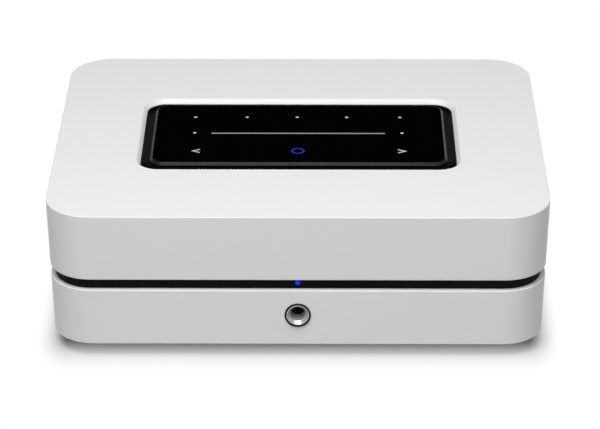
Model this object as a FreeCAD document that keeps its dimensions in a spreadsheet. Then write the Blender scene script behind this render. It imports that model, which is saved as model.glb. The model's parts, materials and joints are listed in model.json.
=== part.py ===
# A compact streaming amplifier: two white casing halves with a dark ventilation gap between them, a sunken
# touch panel in the lid, a headphone socket in the front and a connector panel with four speaker posts behind.
#
# Frame: millimetres, +Z up, the front faces -Y. The origin is under the middle of the whole object, on the
# surface that the rubber feet stand on.

import FreeCAD, Part
import Sketcher
import math
import os

from FreeCAD import Placement, Rotation, Vector

doc = FreeCAD.newDocument("streaming_amplifier")
sheet = doc.addObject("Spreadsheet::Sheet", "sizes")
nodes = {}


class Size:
    """A length that knows its formula on the sheet as well as its present value."""

    def __init__(self, formula, value):
        self.formula = formula
        self.value = value

    @staticmethod
    def of(other):
        return other if isinstance(other, Size) else Size(repr(float(other)), float(other))

    def __add__(self, other):
        other = Size.of(other)
        return Size(f"({self.formula} + {other.formula})", self.value + other.value)

    def __sub__(self, other):
        other = Size.of(other)
        return Size(f"({self.formula} - {other.formula})", self.value - other.value)

    def __mul__(self, other):
        other = Size.of(other)
        return Size(f"({self.formula} * {other.formula})", self.value * other.value)

    def __truediv__(self, other):
        other = Size.of(other)
        return Size(f"({self.formula} / {other.formula})", self.value / other.value)

    def __radd__(self, other):
        return Size.of(other) + self

    def __rsub__(self, other):
        return Size.of(other) - self

    def __rmul__(self, other):
        return Size.of(other) * self

    def __neg__(self):
        return Size(f"(0 - {self.formula})", -self.value)


def size(alias, value):
    """Writes a driving dimension on the next row of the sheet and gives it back as a Size."""
    size.row += 1
    sheet.set(f"A{size.row}", alias)
    sheet.set(f"B{size.row}", str(value))
    sheet.setAlias(f"B{size.row}", alias)
    sheet.recompute()
    return Size(f"sizes.{alias}", float(getattr(sheet, alias)))


size.row = 0

# Casing
shell_width = size("shell_width", 220.0)
shell_depth = size("shell_depth", 172.0)
corner_radius = size("corner_radius", 20.0)
upper_height = size("upper_height", 31.1)
gap_height = size("gap_height", 5.2)
lower_height = size("lower_height", 26.9)
side_lean = size("side_lean", 1.6)
wall = size("wall", 4.5)
lid_thickness = size("lid_thickness", 3.0)
upper_edge_radius = size("upper_edge_radius", 0.7)
lower_edge_radius = size("lower_edge_radius", 1.0)
gap_recess = size("gap_recess", 2.2)
liner_width = size("liner_width", 6.0)
lip_width = size("lip_width", 8.0)
lip_thickness = size("lip_thickness", 2.5)
light_radius = size("light_radius", 1.2)
lamp_side = size("lamp_side", 4.8)
lamp_thickness = size("lamp_thickness", 1.6)

# Underside
foot_height = size("foot_height", 4.5)
foot_radius = size("foot_radius", 8.0)
foot_taper = size("foot_taper", 1.0)
foot_inset = size("foot_inset", 30.0)
plinth_height = size("plinth_height", 2.3)
plinth_inset = size("plinth_inset", 16.0)
base_thickness = size("base_thickness", 2.0)
fit_clearance = size("fit_clearance", 0.2)
air_slot_width = size("air_slot_width", 2.4)
air_slot_length = size("air_slot_length", 26.0)
air_slot_pitch = size("air_slot_pitch", 6.0)
air_slot_row = size("air_slot_row", 30.0)

# Case screws, from under the base plate into the lid
screw_inset = size("screw_inset", 13.0)
screw_radius = size("screw_radius", 1.5)
screw_clearance = size("screw_clearance", 0.08)
screw_bite = size("screw_bite", 12.0)
head_radius = size("head_radius", 2.8)
head_height = size("head_height", 2.0)
boss_radius = size("boss_radius", 4.0)

# Well in the lid and the touch panel in it
well_width = size("well_width", 145.6)
well_length = size("well_length", 76.8)
well_radius = size("well_radius", 10.5)
well_depth = size("well_depth", 4.0)
slope_depth = size("slope_depth", 2.0)
well_slope = size("well_slope", 1.7)
well_flange = size("well_flange", 6.0)
glass_width = size("glass_width", 134.0)
glass_length = size("glass_length", 64.0)
glass_radius = size("glass_radius", 6.5)
glass_thickness = size("glass_thickness", 2.0)
glass_chamfer = size("glass_chamfer", 1.15)
carrier_inset = size("carrier_inset", 1.0)
carrier_wall = size("carrier_wall", 2.5)
touch_board_thickness = size("touch_board_thickness", 1.2)
grille_thickness = size("grille_thickness", 1.5)
slot_width = size("slot_width", 0.8)
slot_pitch = size("slot_pitch", 1.6)
slot_margin = size("slot_margin", 0.6)
bar_rise = size("bar_rise", 1.8)
ring_fit = size("ring_fit", 0.15)
grille_screw_radius = size("grille_screw_radius", 1.0)
grille_screw_head = size("grille_screw_head", 1.9)
grille_screw_bite = size("grille_screw_bite", 2.4)
flex_clearance = size("flex_clearance", 1.0)
flex_width = size("flex_width", 12.0)
flex_thickness = size("flex_thickness", 0.3)
flex_place = size("flex_place", 22.0)
well_edge_radius = size("well_edge_radius", 0.3)
panel_fit = size("panel_fit", 0.3)

# Headphone socket
socket_radius = size("socket_radius", 3.25)
socket_mouth_radius = size("socket_mouth_radius", 4.3)
socket_mouth_depth = size("socket_mouth_depth", 1.5)
socket_lead_radius = size("socket_lead_radius", 3.4)
ferrule_radius = size("ferrule_radius", 5.0)
ferrule_proud = size("ferrule_proud", 0.3)
ferrule_reach = size("ferrule_reach", 3.5)
bezel_radius = size("bezel_radius", 5.8)
bezel_proud = size("bezel_proud", 0.6)
bezel_sleeve = size("bezel_sleeve", 0.4)
jack_width = size("jack_width", 15.0)
jack_length = size("jack_length", 26.0)
jack_height = size("jack_height", 12.4)
jack_floor = size("jack_floor", 2.0)
contact_thickness = size("contact_thickness", 0.4)
contact_width = size("contact_width", 0.6)
contact_spacing = size("contact_spacing", 1.6)
contact_length = size("contact_length", 14.0)
contact_setback = size("contact_setback", 1.0)
contact_relief = size("contact_relief", 0.4)

# Boards
standoff_height = size("standoff_height", 7.2)
standoff_radius = size("standoff_radius", 3.0)
board_thickness = size("board_thickness", 1.6)
board_margin = size("board_margin", 2.0)
board_gap = size("board_gap", 3.0)
board_screw_radius = size("board_screw_radius", 1.2)
board_screw_head = size("board_screw_head", 2.4)
board_screw_bite = size("board_screw_bite", 4.0)
board_screw_inset = size("board_screw_inset", 7.0)
board_screw_row = size("board_screw_row", 15.0)
board_screw_rear_row = size("board_screw_rear_row", 21.0)

# Heat sink and the parts on the boards
chip_side = size("chip_side", 10.0)
chip_height = size("chip_height", 2.0)
chip_row_spread = size("chip_row_spread", 22.0)
sink_gap = size("sink_gap", 9.0)
sink_length = size("sink_length", 44.0)
sink_base = size("sink_base", 3.0)
sink_inset = size("sink_inset", 14.0)
sink_setback = size("sink_setback", 10.0)
fin_height = size("fin_height", 24.0)
fin_thickness = size("fin_thickness", 1.6)
fin_pitch = size("fin_pitch", 6.0)
inductor_gap = size("inductor_gap", 2.25)
inductor_height = size("inductor_height", 13.0)
inductor_margin = size("inductor_margin", 2.5)
part_gap = size("part_gap", 6.0)
module_side = size("module_side", 40.0)
module_thickness = size("module_thickness", 2.4)
module_inset = size("module_inset", 14.0)
shield_side = size("shield_side", 24.0)
shield_height = size("shield_height", 2.6)
core_margin = size("core_margin", 4.0)
core_length = size("core_length", 30.0)
core_height = size("core_height", 26.0)
core_leg = size("core_leg", 6.0)
core_place = size("core_place", 15.0)
bulk_radius = size("bulk_radius", 8.0)
bulk_height = size("bulk_height", 36.0)
small_radius = size("small_radius", 4.0)
small_height = size("small_height", 12.0)
small_pitch = size("small_pitch", 10.0)
link_width = size("link_width", 18.0)
link_height = size("link_height", 8.0)
link_overlap = size("link_overlap", 3.5)
antenna_length = size("antenna_length", 34.0)
antenna_height = size("antenna_height", 9.0)
antenna_thickness = size("antenna_thickness", 0.8)

# Rear panel
window_width = size("window_width", 164.0)
window_headroom = size("window_headroom", 5.5)
window_radius = size("window_radius", 3.0)
window_gap = size("window_gap", 0.3)
panel_flange = size("panel_flange", 3.0)
panel_thickness = size("panel_thickness", 2.0)
panel_clearance = size("panel_clearance", 0.15)
panel_screw_level = size("panel_screw_level", 29.0)
panel_screw_spread = size("panel_screw_spread", 26.0)
panel_screw_inset = size("panel_screw_inset", 3.0)
socket_margin = size("socket_margin", 5.5)
socket_gap = size("socket_gap", 4.0)
socket_proud = size("socket_proud", 0.8)

# Mains inlet
inlet_width = size("inlet_width", 25.0)
inlet_length = size("inlet_length", 20.0)
inlet_height = size("inlet_height", 18.6)
inlet_recess_width = size("inlet_recess_width", 20.6)
inlet_recess_height = size("inlet_recess_height", 11.0)
inlet_recess_depth = size("inlet_recess_depth", 14.0)
inlet_pin_radius = size("inlet_pin_radius", 1.2)
inlet_pin_spacing = size("inlet_pin_spacing", 8.6)
inlet_pin_length = size("inlet_pin_length", 12.0)
inlet_corner = size("inlet_corner", 5.0)
inlet_tail = size("inlet_tail", 5.0)
inlet_flange = size("inlet_flange", 2.0)
inlet_flange_thickness = size("inlet_flange_thickness", 1.4)

# Data sockets
hdmi_width = size("hdmi_width", 15.0)
hdmi_height = size("hdmi_height", 5.7)
hdmi_length = size("hdmi_length", 12.0)
hdmi_chamfer = size("hdmi_chamfer", 1.8)
hdmi_tongue_width = size("hdmi_tongue_width", 11.0)
usb_width = size("usb_width", 13.2)
usb_height = size("usb_height", 5.8)
usb_length = size("usb_length", 14.0)
usb_tongue_width = size("usb_tongue_width", 11.0)
metal_wall = size("metal_wall", 0.4)
tongue_thickness = size("tongue_thickness", 1.6)
tongue_setback = size("tongue_setback", 1.2)
ethernet_width = size("ethernet_width", 16.0)
ethernet_height = size("ethernet_height", 13.4)
ethernet_length = size("ethernet_length", 16.0)
plug_width = size("plug_width", 11.8)
plug_height = size("plug_height", 7.2)
plug_depth = size("plug_depth", 12.5)
latch_width = size("latch_width", 6.2)
latch_height = size("latch_height", 2.2)
contact_wire = size("contact_wire", 0.35)
contact_pitch = size("contact_pitch", 1.02)
wire_length = size("wire_length", 8.0)

# Analogue sockets
line_radius = size("line_radius", 1.8)
line_bush_radius = size("line_bush_radius", 3.1)
line_bush_proud = size("line_bush_proud", 1.4)
line_width = size("line_width", 8.0)
line_length = size("line_length", 14.0)
line_height = size("line_height", 7.0)
sub_radius = size("sub_radius", 4.15)
sub_wall = size("sub_wall", 0.65)
sub_reach = size("sub_reach", 9.0)
sub_hole_radius = size("sub_hole_radius", 1.6)
sub_body_width = size("sub_body_width", 11.0)
sub_body_length = size("sub_body_length", 12.0)
sub_body_height = size("sub_body_height", 12.0)
sub_collar_radius = size("sub_collar_radius", 5.2)
sub_collar_thickness = size("sub_collar_thickness", 1.0)

# Speaker posts
post_spacing = size("post_spacing", 19.05)
post_margin = size("post_margin", 12.0)
post_radius = size("post_radius", 3.0)
post_bore_radius = size("post_bore_radius", 2.05)
post_bore_depth = size("post_bore_depth", 16.0)
wire_hole_radius = size("wire_hole_radius", 1.0)
wire_hole_place = size("wire_hole_place", 2.2)
post_tail = size("post_tail", 10.0)
post_tail_step = size("post_tail_step", 5.0)
collar_radius = size("collar_radius", 8.5)
collar_thickness = size("collar_thickness", 3.0)
washer_radius = size("washer_radius", 5.5)
washer_thickness = size("washer_thickness", 1.2)
cap_radius = size("cap_radius", 6.8)
cap_length = size("cap_length", 18.3)
cap_end = size("cap_end", 4.0)
cap_end_gap = size("cap_end_gap", 0.7)
cap_mouth_radius = size("cap_mouth_radius", 2.5)
cap_groove_radius = size("cap_groove_radius", 0.6)
running_clearance = size("running_clearance", 0.08)
nut_radius = size("nut_radius", 5.0)
nut_thickness = size("nut_thickness", 2.5)
tab_width = size("tab_width", 5.0)
tab_thickness = size("tab_thickness", 1.0)

# Levels above the floor
plinth_bottom = foot_height
shell_bottom = foot_height + plinth_height
gap_bottom = shell_bottom + lower_height
upper_bottom = gap_bottom + gap_height
lid_top = upper_bottom + upper_height
lid_inside = lid_top - lid_thickness
well_floor = lid_top - well_depth
base_inside = plinth_bottom + base_thickness
board_bottom = base_inside + standoff_height
board_top = board_bottom + board_thickness
socket_level = board_top + jack_height / 2
glass_bottom = lid_top - glass_thickness
touch_board_top = well_floor + touch_board_thickness
base_top = shell_bottom + base_thickness
window_bottom = board_top - inlet_flange - window_gap
window_top = lid_inside - window_headroom

# Places from front to back
post_reach = collar_thickness + washer_thickness + cap_length - wall
front = 0.0 - (shell_depth + post_reach) / 2
rear = front + shell_depth
middle = front + shell_depth / 2
front_inside = front + wall
rear_inside = rear - wall
panel_front = rear_inside - panel_thickness
side_inside = shell_width / 2 - wall
bay_reach = window_width / 2 + panel_flange + fit_clearance
post_end = rear_inside + collar_thickness + washer_thickness + cap_length

TINY = 1e-3
AIR_SLOTS_EACH_SIDE = 7
CAP_FLUTES = 12
NETWORK_WIRES = 8
INDUCTORS = 4
SMALL_CAPACITORS = 3
UPRIGHT = Rotation()
BACKWARD = Rotation(Vector(1, 0, 0), -90)
SIDEWAYS = Rotation(Vector(0, 1, 0), 90)
TURNS = {"z": UPRIGHT, "y": BACKWARD, "x": SIDEWAYS}


def number(length):
    """The present value of a Size or a plain number."""
    return Size.of(length).value


def bind(obj, **lengths):
    """Ties properties of an object to formulas on the sheet."""
    for name, length in lengths.items():
        obj.setExpression(name, Size.of(length).formula)


def place(obj, x, y, z, turn=UPRIGHT):
    """Puts an object at a point whose coordinates are formulas on the sheet."""
    obj.Placement = Placement(Vector(number(x), number(y), number(z)), turn)
    for axis, length in zip("xyz", (x, y, z)):
        obj.setExpression(f"Placement.Base.{axis}", Size.of(length).formula)
    return obj


def block(name, x, y, z, length, width, height):
    """A box from its low corner."""
    box = doc.addObject("Part::Box", name)
    bind(box, Length=length, Width=width, Height=height)
    return place(box, x, y, z)


def standing_block(name, x, y, z, length, width, height):
    """A box centred on x and y that stands on level z."""
    return block(name, x - length / 2, y - width / 2, z, length, width, height)


def rod(name, radius, length, x, y, z, along="z"):
    """A cylinder that starts at a point and runs along an axis."""
    cylinder = doc.addObject("Part::Cylinder", name)
    bind(cylinder, Radius=radius, Height=length)
    return place(cylinder, x, y, z, TURNS[along])


def cone(name, start_radius, end_radius, length, x, y, z, along="z"):
    """A frustum that starts at a point and runs along an axis."""
    frustum = doc.addObject("Part::Cone", name)
    bind(frustum, Radius1=start_radius, Radius2=end_radius, Height=length)
    return place(frustum, x, y, z, TURNS[along])


def fuse(name, *pieces):
    """One solid from pieces that touch."""
    joined = doc.addObject("Part::MultiFuse", name)
    joined.Shapes = list(pieces)
    return joined


def gather(name, pieces):
    """Like pieces that share a node and stay separate solids."""
    together = doc.addObject("Part::Compound", name)
    together.Links = list(pieces)
    return together


def cut(name, base, *tools):
    """A solid less one or more tools."""
    less = doc.addObject("Part::Cut", name)
    less.Base = base
    less.Tool = tools[0] if len(tools) == 1 else gather(name + "_tools", tools)
    return less


def tube(name, outer, inner, length, x, y, z, along="z"):
    """A straight tube that starts at a point."""
    bar = rod(name + "_bar", outer, length, x, y, z, along)
    hole = rod(name + "_hole", inner, length, x, y, z, along)
    return cut(name, bar, hole)


def node(label, obj):
    """Names a finished sub-part, and keeps it for the export."""
    obj.Label = label
    nodes[label] = obj
    return obj


def sketch_on(body, name, level=0.0):
    """A sketch in a body, parallel to its XY plane at a level."""
    plane = next(f for f in body.Origin.OriginFeatures if f.Role == "XY_Plane")
    drawing = body.newObject("Sketcher::SketchObject", name)
    drawing.AttachmentSupport = [(plane, "")]
    drawing.MapMode = "FlatFace"
    drawing.AttachmentOffset = Placement(Vector(0, 0, number(level)), UPRIGHT)
    drawing.setExpression("AttachmentOffset.Base.z", Size.of(level).formula)
    return drawing


def draw_rounded_rectangle(drawing, width, depth, radius):
    """Adds four sides and four corner arcs, centred on the sketch's origin, with their sizes bound."""
    w, d, r = number(width) / 2, number(depth) / 2, number(radius)
    first = drawing.GeometryCount
    corners = [(1, -1, -90), (1, 1, 0), (-1, 1, 90), (-1, -1, 180)]
    sides = [
        (Vector(r - w, -d, 0), Vector(w - r, -d, 0)),
        (Vector(w, r - d, 0), Vector(w, d - r, 0)),
        (Vector(w - r, d, 0), Vector(r - w, d, 0)),
        (Vector(-w, d - r, 0), Vector(-w, r - d, 0)),
    ]
    for start, end in sides:
        drawing.addGeometry(Part.LineSegment(start, end), False)
    for sx, sy, angle in corners:
        ring = Part.Circle(Vector(sx * (w - r), sy * (d - r), 0), Vector(0, 0, 1), r)
        arc = Part.ArcOfCircle(ring, math.radians(angle), math.radians(angle + 90))
        drawing.addGeometry(arc, False)
    start, end = 1, 2
    for i in range(4):
        side, arc, following = first + i, first + 4 + i, first + (i + 1) % 4
        drawing.addConstraint(Sketcher.Constraint("Tangent", side, end, arc, start))
        drawing.addConstraint(Sketcher.Constraint("Tangent", arc, end, following, start))
        level = "Horizontal" if i % 2 == 0 else "Vertical"
        drawing.addConstraint(Sketcher.Constraint(level, side))
    for i in range(1, 4):
        drawing.addConstraint(Sketcher.Constraint("Equal", first + 4, first + 4 + i))
    drawing.addConstraint(Sketcher.Constraint("Symmetric", first, start, first + 2, start, -1, 1))
    bound = {
        "width": (Sketcher.Constraint("DistanceX", first + 3, start, first + 1, start, 2 * w), width),
        "depth": (Sketcher.Constraint("DistanceY", first, start, first + 2, start, 2 * d), depth),
        "radius": (Sketcher.Constraint("Radius", first + 4, r), radius),
    }
    for word, (constraint, length) in bound.items():
        index = drawing.addConstraint(constraint)
        name = f"{word}_{first}"
        drawing.renameConstraint(index, name)
        drawing.setExpression(f"Constraints.{name}", Size.of(length).formula)


def draw_rectangle(drawing, width, height):
    """Adds four sides with square corners, centred on the sketch's origin, with their sizes bound."""
    w, h = number(width) / 2, number(height) / 2
    points = [Vector(-w, -h, 0), Vector(w, -h, 0), Vector(w, h, 0), Vector(-w, h, 0)]
    for i in range(4):
        drawing.addGeometry(Part.LineSegment(points[i], points[(i + 1) % 4]), False)
    start, end = 1, 2
    for i in range(4):
        drawing.addConstraint(Sketcher.Constraint("Coincident", i, end, (i + 1) % 4, start))
        drawing.addConstraint(Sketcher.Constraint("Horizontal" if i % 2 == 0 else "Vertical", i))
    drawing.addConstraint(Sketcher.Constraint("Symmetric", 0, start, 2, start, -1, 1))
    across = drawing.addConstraint(Sketcher.Constraint("DistanceX", 0, start, 0, end, 2 * w))
    drawing.setExpression(f"Constraints[{across}]", Size.of(width).formula)
    upward = drawing.addConstraint(Sketcher.Constraint("DistanceY", 1, start, 1, end, 2 * h))
    drawing.setExpression(f"Constraints[{upward}]", Size.of(height).formula)


def pad(body, name, width, depth, radius, level, height):
    """Pads a rounded rectangle upwards from a level."""
    drawing = sketch_on(body, name + "_outline", level)
    draw_rounded_rectangle(drawing, width, depth, radius)
    feature = body.newObject("PartDesign::Pad", name)
    feature.Profile = drawing
    bind(feature, Length=height)
    return feature


def pocket(body, name, width, depth, radius, level, height):
    """Cuts a rounded rectangle upwards from a level."""
    drawing = sketch_on(body, name + "_outline", level)
    draw_rounded_rectangle(drawing, width, depth, radius)
    feature = body.newObject("PartDesign::Pocket", name)
    feature.Profile = drawing
    feature.Reversed = True
    bind(feature, Length=height)
    return feature


def edges_at(shape, level, reach):
    """Names of the edges that lie in the plane at a level, as far out as a reach to either side."""
    found = []
    for i, edge in enumerate(shape.Edges):
        box = edge.BoundBox
        flat = abs(box.ZMin - level) < TINY and abs(box.ZMax - level) < TINY
        if flat and max(abs(box.XMin), abs(box.XMax)) < reach + TINY:
            found.append(f"Edge{i + 1}")
    return found


def soften(body, feature, kind, name, level, reach, **amount):
    """Fillets or chamfers the edge of a feature at a level, within a reach to either side."""
    doc.recompute()
    edging = body.newObject(kind, name)
    edging.Base = (feature, edges_at(feature.Shape, number(level), number(reach)))
    bind(edging, **amount)
    return edging


def plate(name, width, depth, radius, height, x, y, z, turn=UPRIGHT):
    """A rounded plate, centred on x and y, that rises from z. Turned backward it stands up and runs along +Y."""
    body = doc.addObject("PartDesign::Body", name)
    pad(body, name + "_pad", width, depth, radius, 0.0, height)
    return place(body, x, y, z, turn)


def lean_in(level):
    """How far the casing's sides lean in at a level: not at all at the lid's top, and most at the bottom."""
    return side_lean * (lid_top - level) / (lid_top - shell_bottom)


def leaning_block(body, name, low, high):
    """A rounded block between two levels, whose sides lean in from its top towards the bottom."""
    inset = lean_in(high)
    blank = pad(body, name, shell_width - 2 * inset, shell_depth - 2 * inset, corner_radius - inset, low,
                high - low)
    doc.recompute()
    sides, top = [], []
    for i, face in enumerate(blank.Shape.Faces):
        if face.BoundBox.ZLength > TINY:
            sides.append(f"Face{i + 1}")
        elif abs(face.BoundBox.ZMin - number(high)) < TINY:
            top.append(f"Face{i + 1}")
    slope = side_lean / (lid_top - shell_bottom)
    draft = body.newObject("PartDesign::Draft", name + "_draft")
    draft.Base = (blank, sides)
    draft.NeutralPlane = (blank, top)
    draft.Reversed = True
    bind(draft, Angle=Size(f"atan({slope.formula})", math.degrees(math.atan(slope.value))))
    return draft


def corner_points(x_inset, y_inset):
    """The four points at an inset from the casing's sides, front and back."""
    x = shell_width / 2 - x_inset
    y = shell_depth / 2 - y_inset
    return [(sx * x, middle + sy * y) for sx in (-1, 1) for sy in (-1, 1)]


# Casing

screw_points = corner_points(screw_inset, screw_inset)
liner_inset = lean_in(gap_bottom) + gap_recess
socket_front = front + lean_in(socket_level)


def screw_holes(name, radius, bottom, height):
    """Tools that bore the four case screws' holes between two levels."""
    return [rod(f"{name}_{i}", radius, height, x, y, bottom) for i, (x, y) in enumerate(screw_points)]


def make_window_cutter():
    """The rear window, which both casing halves and the liner share."""
    return plate("rear_window", window_width, window_top - window_bottom, window_radius, wall + 2 * fit_clearance,
                 0.0, rear_inside - fit_clearance, (window_top + window_bottom) / 2, BACKWARD)


def make_panel_bay():
    """Room for the rear panel's flange behind the casing's lips."""
    return block("panel_bay", -bay_reach, rear_inside - lip_width, base_top, 2 * bay_reach, lip_width,
                 lid_inside - base_top)


def make_upper_shell(window):
    """The white lid half: walls, top with the sloping well, and four screw bosses."""
    body = doc.addObject("PartDesign::Body", "upper_casing")
    place(body, 0.0, middle, 0.0)
    outside = leaning_block(body, "upper_block", upper_bottom, lid_top)
    soft_top = soften(body, outside, "PartDesign::Fillet", "upper_top_edge", lid_top, shell_width / 2,
                      Radius=upper_edge_radius)
    soften(body, soft_top, "PartDesign::Fillet", "upper_low_edge", upper_bottom, shell_width / 2,
           Radius=upper_edge_radius)
    pocket(body, "upper_cavity", shell_width - 2 * wall, shell_depth - 2 * wall, corner_radius - wall,
           upper_bottom, upper_height - lid_thickness)
    floor_width = well_width - 2 * well_slope
    floor_length = well_length - 2 * well_slope
    floor_radius = well_radius - well_slope
    pad(body, "well_flange_ring", floor_width + 2 * well_flange, floor_length + 2 * well_flange,
        floor_radius + well_flange, well_floor, well_depth - lid_thickness / 2)
    pocket(body, "well_drop", floor_width, floor_length, floor_radius, well_floor, well_depth - slope_depth)
    mouth = sketch_on(body, "well_mouth", lid_top)
    draw_rounded_rectangle(mouth, well_width, well_length, well_radius)
    foot = sketch_on(body, "well_foot", lid_top - slope_depth)
    draw_rounded_rectangle(foot, floor_width, floor_length, floor_radius)
    slope = body.newObject("PartDesign::SubtractiveLoft", "well_slope_cut")
    slope.Profile = mouth
    slope.Sections = [foot]
    slope.Ruled = True
    soften(body, slope, "PartDesign::Fillet", "well_edge", lid_top, well_width / 2, Radius=well_edge_radius)
    bosses = [
        rod(f"upper_boss_{i}", boss_radius, upper_height - lid_thickness, x, y, upper_bottom)
        for i, (x, y) in enumerate(screw_points)
    ]
    holes = screw_holes("upper_hole", screw_radius + screw_clearance, upper_bottom, screw_bite + fit_clearance)
    threads = grille_screw_holes("lid_thread", grille_screw_radius + screw_clearance, well_floor,
                                 grille_screw_bite)
    whole = fuse("upper_with_bosses", body, *bosses)
    return node("upper_shell", cut("upper_shell", whole, window, *holes, *threads))


def make_lower_shell(window, bay):
    """The white lower half: walls, a lip that carries the liner, screw bosses and the socket's hole."""
    body = doc.addObject("PartDesign::Body", "lower_casing")
    place(body, 0.0, middle, 0.0)
    outside = leaning_block(body, "lower_block", shell_bottom, gap_bottom)
    soft_top = soften(body, outside, "PartDesign::Fillet", "lower_top_edge", gap_bottom, shell_width / 2,
                      Radius=lower_edge_radius)
    soften(body, soft_top, "PartDesign::Fillet", "lower_low_edge", shell_bottom, shell_width / 2,
           Radius=lower_edge_radius)
    pocket(body, "lower_cavity", shell_width - 2 * wall, shell_depth - 2 * wall, corner_radius - wall,
           shell_bottom, lower_height - lip_thickness)
    lip_inset = wall + lip_width
    pocket(body, "lip_opening", shell_width - 2 * lip_inset, shell_depth - 2 * lip_inset,
           corner_radius - lip_inset, gap_bottom - lip_thickness, lip_thickness)
    bosses = [
        rod(f"lower_boss_{i}", boss_radius, gap_bottom - base_top, x, y, base_top)
        for i, (x, y) in enumerate(screw_points)
    ]
    holes = screw_holes("lower_hole", screw_radius + screw_clearance, shell_bottom, lower_height)
    socket_hole = rod("socket_hole", ferrule_radius + bezel_sleeve + screw_clearance, wall, 0.0, front,
                      socket_level, "y")
    bezel_seat = rod("bezel_seat", bezel_radius + screw_clearance, socket_front - front, 0.0, front,
                     socket_level, "y")
    whole = fuse("lower_with_bosses", body, *bosses)
    return node("lower_shell", cut("lower_shell", whole, window, bay, socket_hole, bezel_seat, *holes))


def make_gap_liner(window, bay):
    """The dark ring set back in the gap between the halves. It spaces them apart round the case screws."""
    body = doc.addObject("PartDesign::Body", "liner_ring")
    place(body, 0.0, middle, 0.0)
    pad(body, "liner_block", shell_width - 2 * liner_inset, shell_depth - 2 * liner_inset,
        corner_radius - liner_inset, gap_bottom, gap_height)
    inner = liner_inset + liner_width
    pocket(body, "liner_opening", shell_width - 2 * inner, shell_depth - 2 * inner, corner_radius - inner,
           gap_bottom, gap_height)
    ears = [
        rod(f"liner_ear_{i}", boss_radius, gap_height, x, y, gap_bottom)
        for i, (x, y) in enumerate(screw_points)
    ]
    holes = screw_holes("liner_hole", screw_radius + screw_clearance, gap_bottom, gap_height)
    light_hole = rod("light_hole", light_radius, liner_width, 0.0, front + liner_inset,
                     gap_bottom + gap_height / 2, "y")
    whole = fuse("liner_with_ears", body, *ears)
    return node("gap_liner", cut("gap_liner", whole, window, bay, light_hole, *holes))


def make_base_plate():
    """The dark bottom tray: a rim inside the lower half and a shallow plinth below it."""
    body = doc.addObject("PartDesign::Body", "base_tray")
    place(body, 0.0, middle, 0.0)
    edge = wall + fit_clearance
    pad(body, "base_rim", shell_width - 2 * edge, shell_depth - 2 * edge, corner_radius - edge,
        shell_bottom, base_thickness)
    pad(body, "base_plinth", shell_width - 2 * plinth_inset, shell_depth - 2 * plinth_inset,
        corner_radius - plinth_inset, plinth_bottom, plinth_height)
    inner = plinth_inset + base_thickness
    pocket(body, "base_hollow", shell_width - 2 * inner, shell_depth - 2 * inner,
           corner_radius - inner, base_inside, plinth_height)
    holes = screw_holes("base_hole", screw_radius + screw_clearance, shell_bottom, base_thickness)
    slots = [
        standing_block(f"air_slot_{i}_{row}", air_slot_pitch * i, middle + row * air_slot_row, plinth_bottom,
                       air_slot_width, air_slot_length, base_thickness)
        for row in (-1, 1) for i in range(-AIR_SLOTS_EACH_SIDE, AIR_SLOTS_EACH_SIDE + 1)
    ]
    return node("base_plate", cut("base_plate", body, *holes, *slots))


def make_feet():
    """Four rubber feet, each a slight cone."""
    feet = [
        cone(f"foot_{i}", foot_radius - foot_taper, foot_radius, foot_height, x, y, 0.0)
        for i, (x, y) in enumerate(corner_points(foot_inset, foot_inset))
    ]
    return node("rubber_feet", gather("rubber_feet", feet))


def make_case_screws():
    """Four long screws that clamp base plate, lower half, liner and lid half together."""
    shank = upper_bottom + screw_bite - shell_bottom
    screws = []
    for i, (x, y) in enumerate(screw_points):
        head = rod(f"case_head_{i}", head_radius, head_height, x, y, shell_bottom - head_height)
        shaft = rod(f"case_shank_{i}", screw_radius, shank, x, y, shell_bottom)
        screws.append(fuse(f"case_screw_{i}", head, shaft))
    return node("case_screws", gather("case_screws", screws))


# Touch panel

def grille_screw_points():
    """Six points on the flange round the well."""
    x = well_width / 2 - well_slope + well_flange / 2
    y = well_length / 2 - well_slope + well_flange / 2
    return [(sx * x / 2, middle + sy * y) for sx in (-1, 1) for sy in (-1, 1)] + [(-x, middle), (x, middle)]


def grille_screw_holes(name, radius, bottom, height):
    """Tools for the six holes that hold the grille up under the lid."""
    return [rod(f"{name}_{i}", radius, height, x, y, bottom) for i, (x, y) in enumerate(grille_screw_points())]


def rounded_wire(width, depth, radius):
    """A rounded rectangle about the origin, as one wire."""
    w, d, r = number(width) / 2, number(depth) / 2, number(radius)
    edges = []
    for sx, sy, angle in [(1, -1, -90), (1, 1, 0), (-1, 1, 90), (-1, -1, 180)]:
        centre = Vector(sx * (w - r), sy * (d - r), 0)
        points = [
            centre + Vector(r * math.cos(math.radians(a)), r * math.sin(math.radians(a)), 0)
            for a in (angle, angle + 45, angle + 90)
        ]
        if edges:
            edges.append(Part.LineSegment(last, points[0]).toShape())
        else:
            first = points[0]
        edges.append(Part.Arc(*points).toShape())
        last = points[2]
    edges.append(Part.LineSegment(last, first).toShape())
    return Part.Wire(edges)


def rectangle_wire(x, y, width, depth):
    """A plain rectangle about a point, as one wire."""
    w, d = width / 2, depth / 2
    corners = [(x - w, y - d), (x + w, y - d), (x + w, y + d), (x - w, y + d), (x - w, y - d)]
    return Part.makePolygon([Vector(px, py, 0) for px, py in corners])


def slot_row(reach, pitch):
    """Evenly spaced places along a side, symmetric about its middle."""
    count = int(reach / pitch)
    return [i * pitch for i in range(-count, count + 1)]


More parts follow.
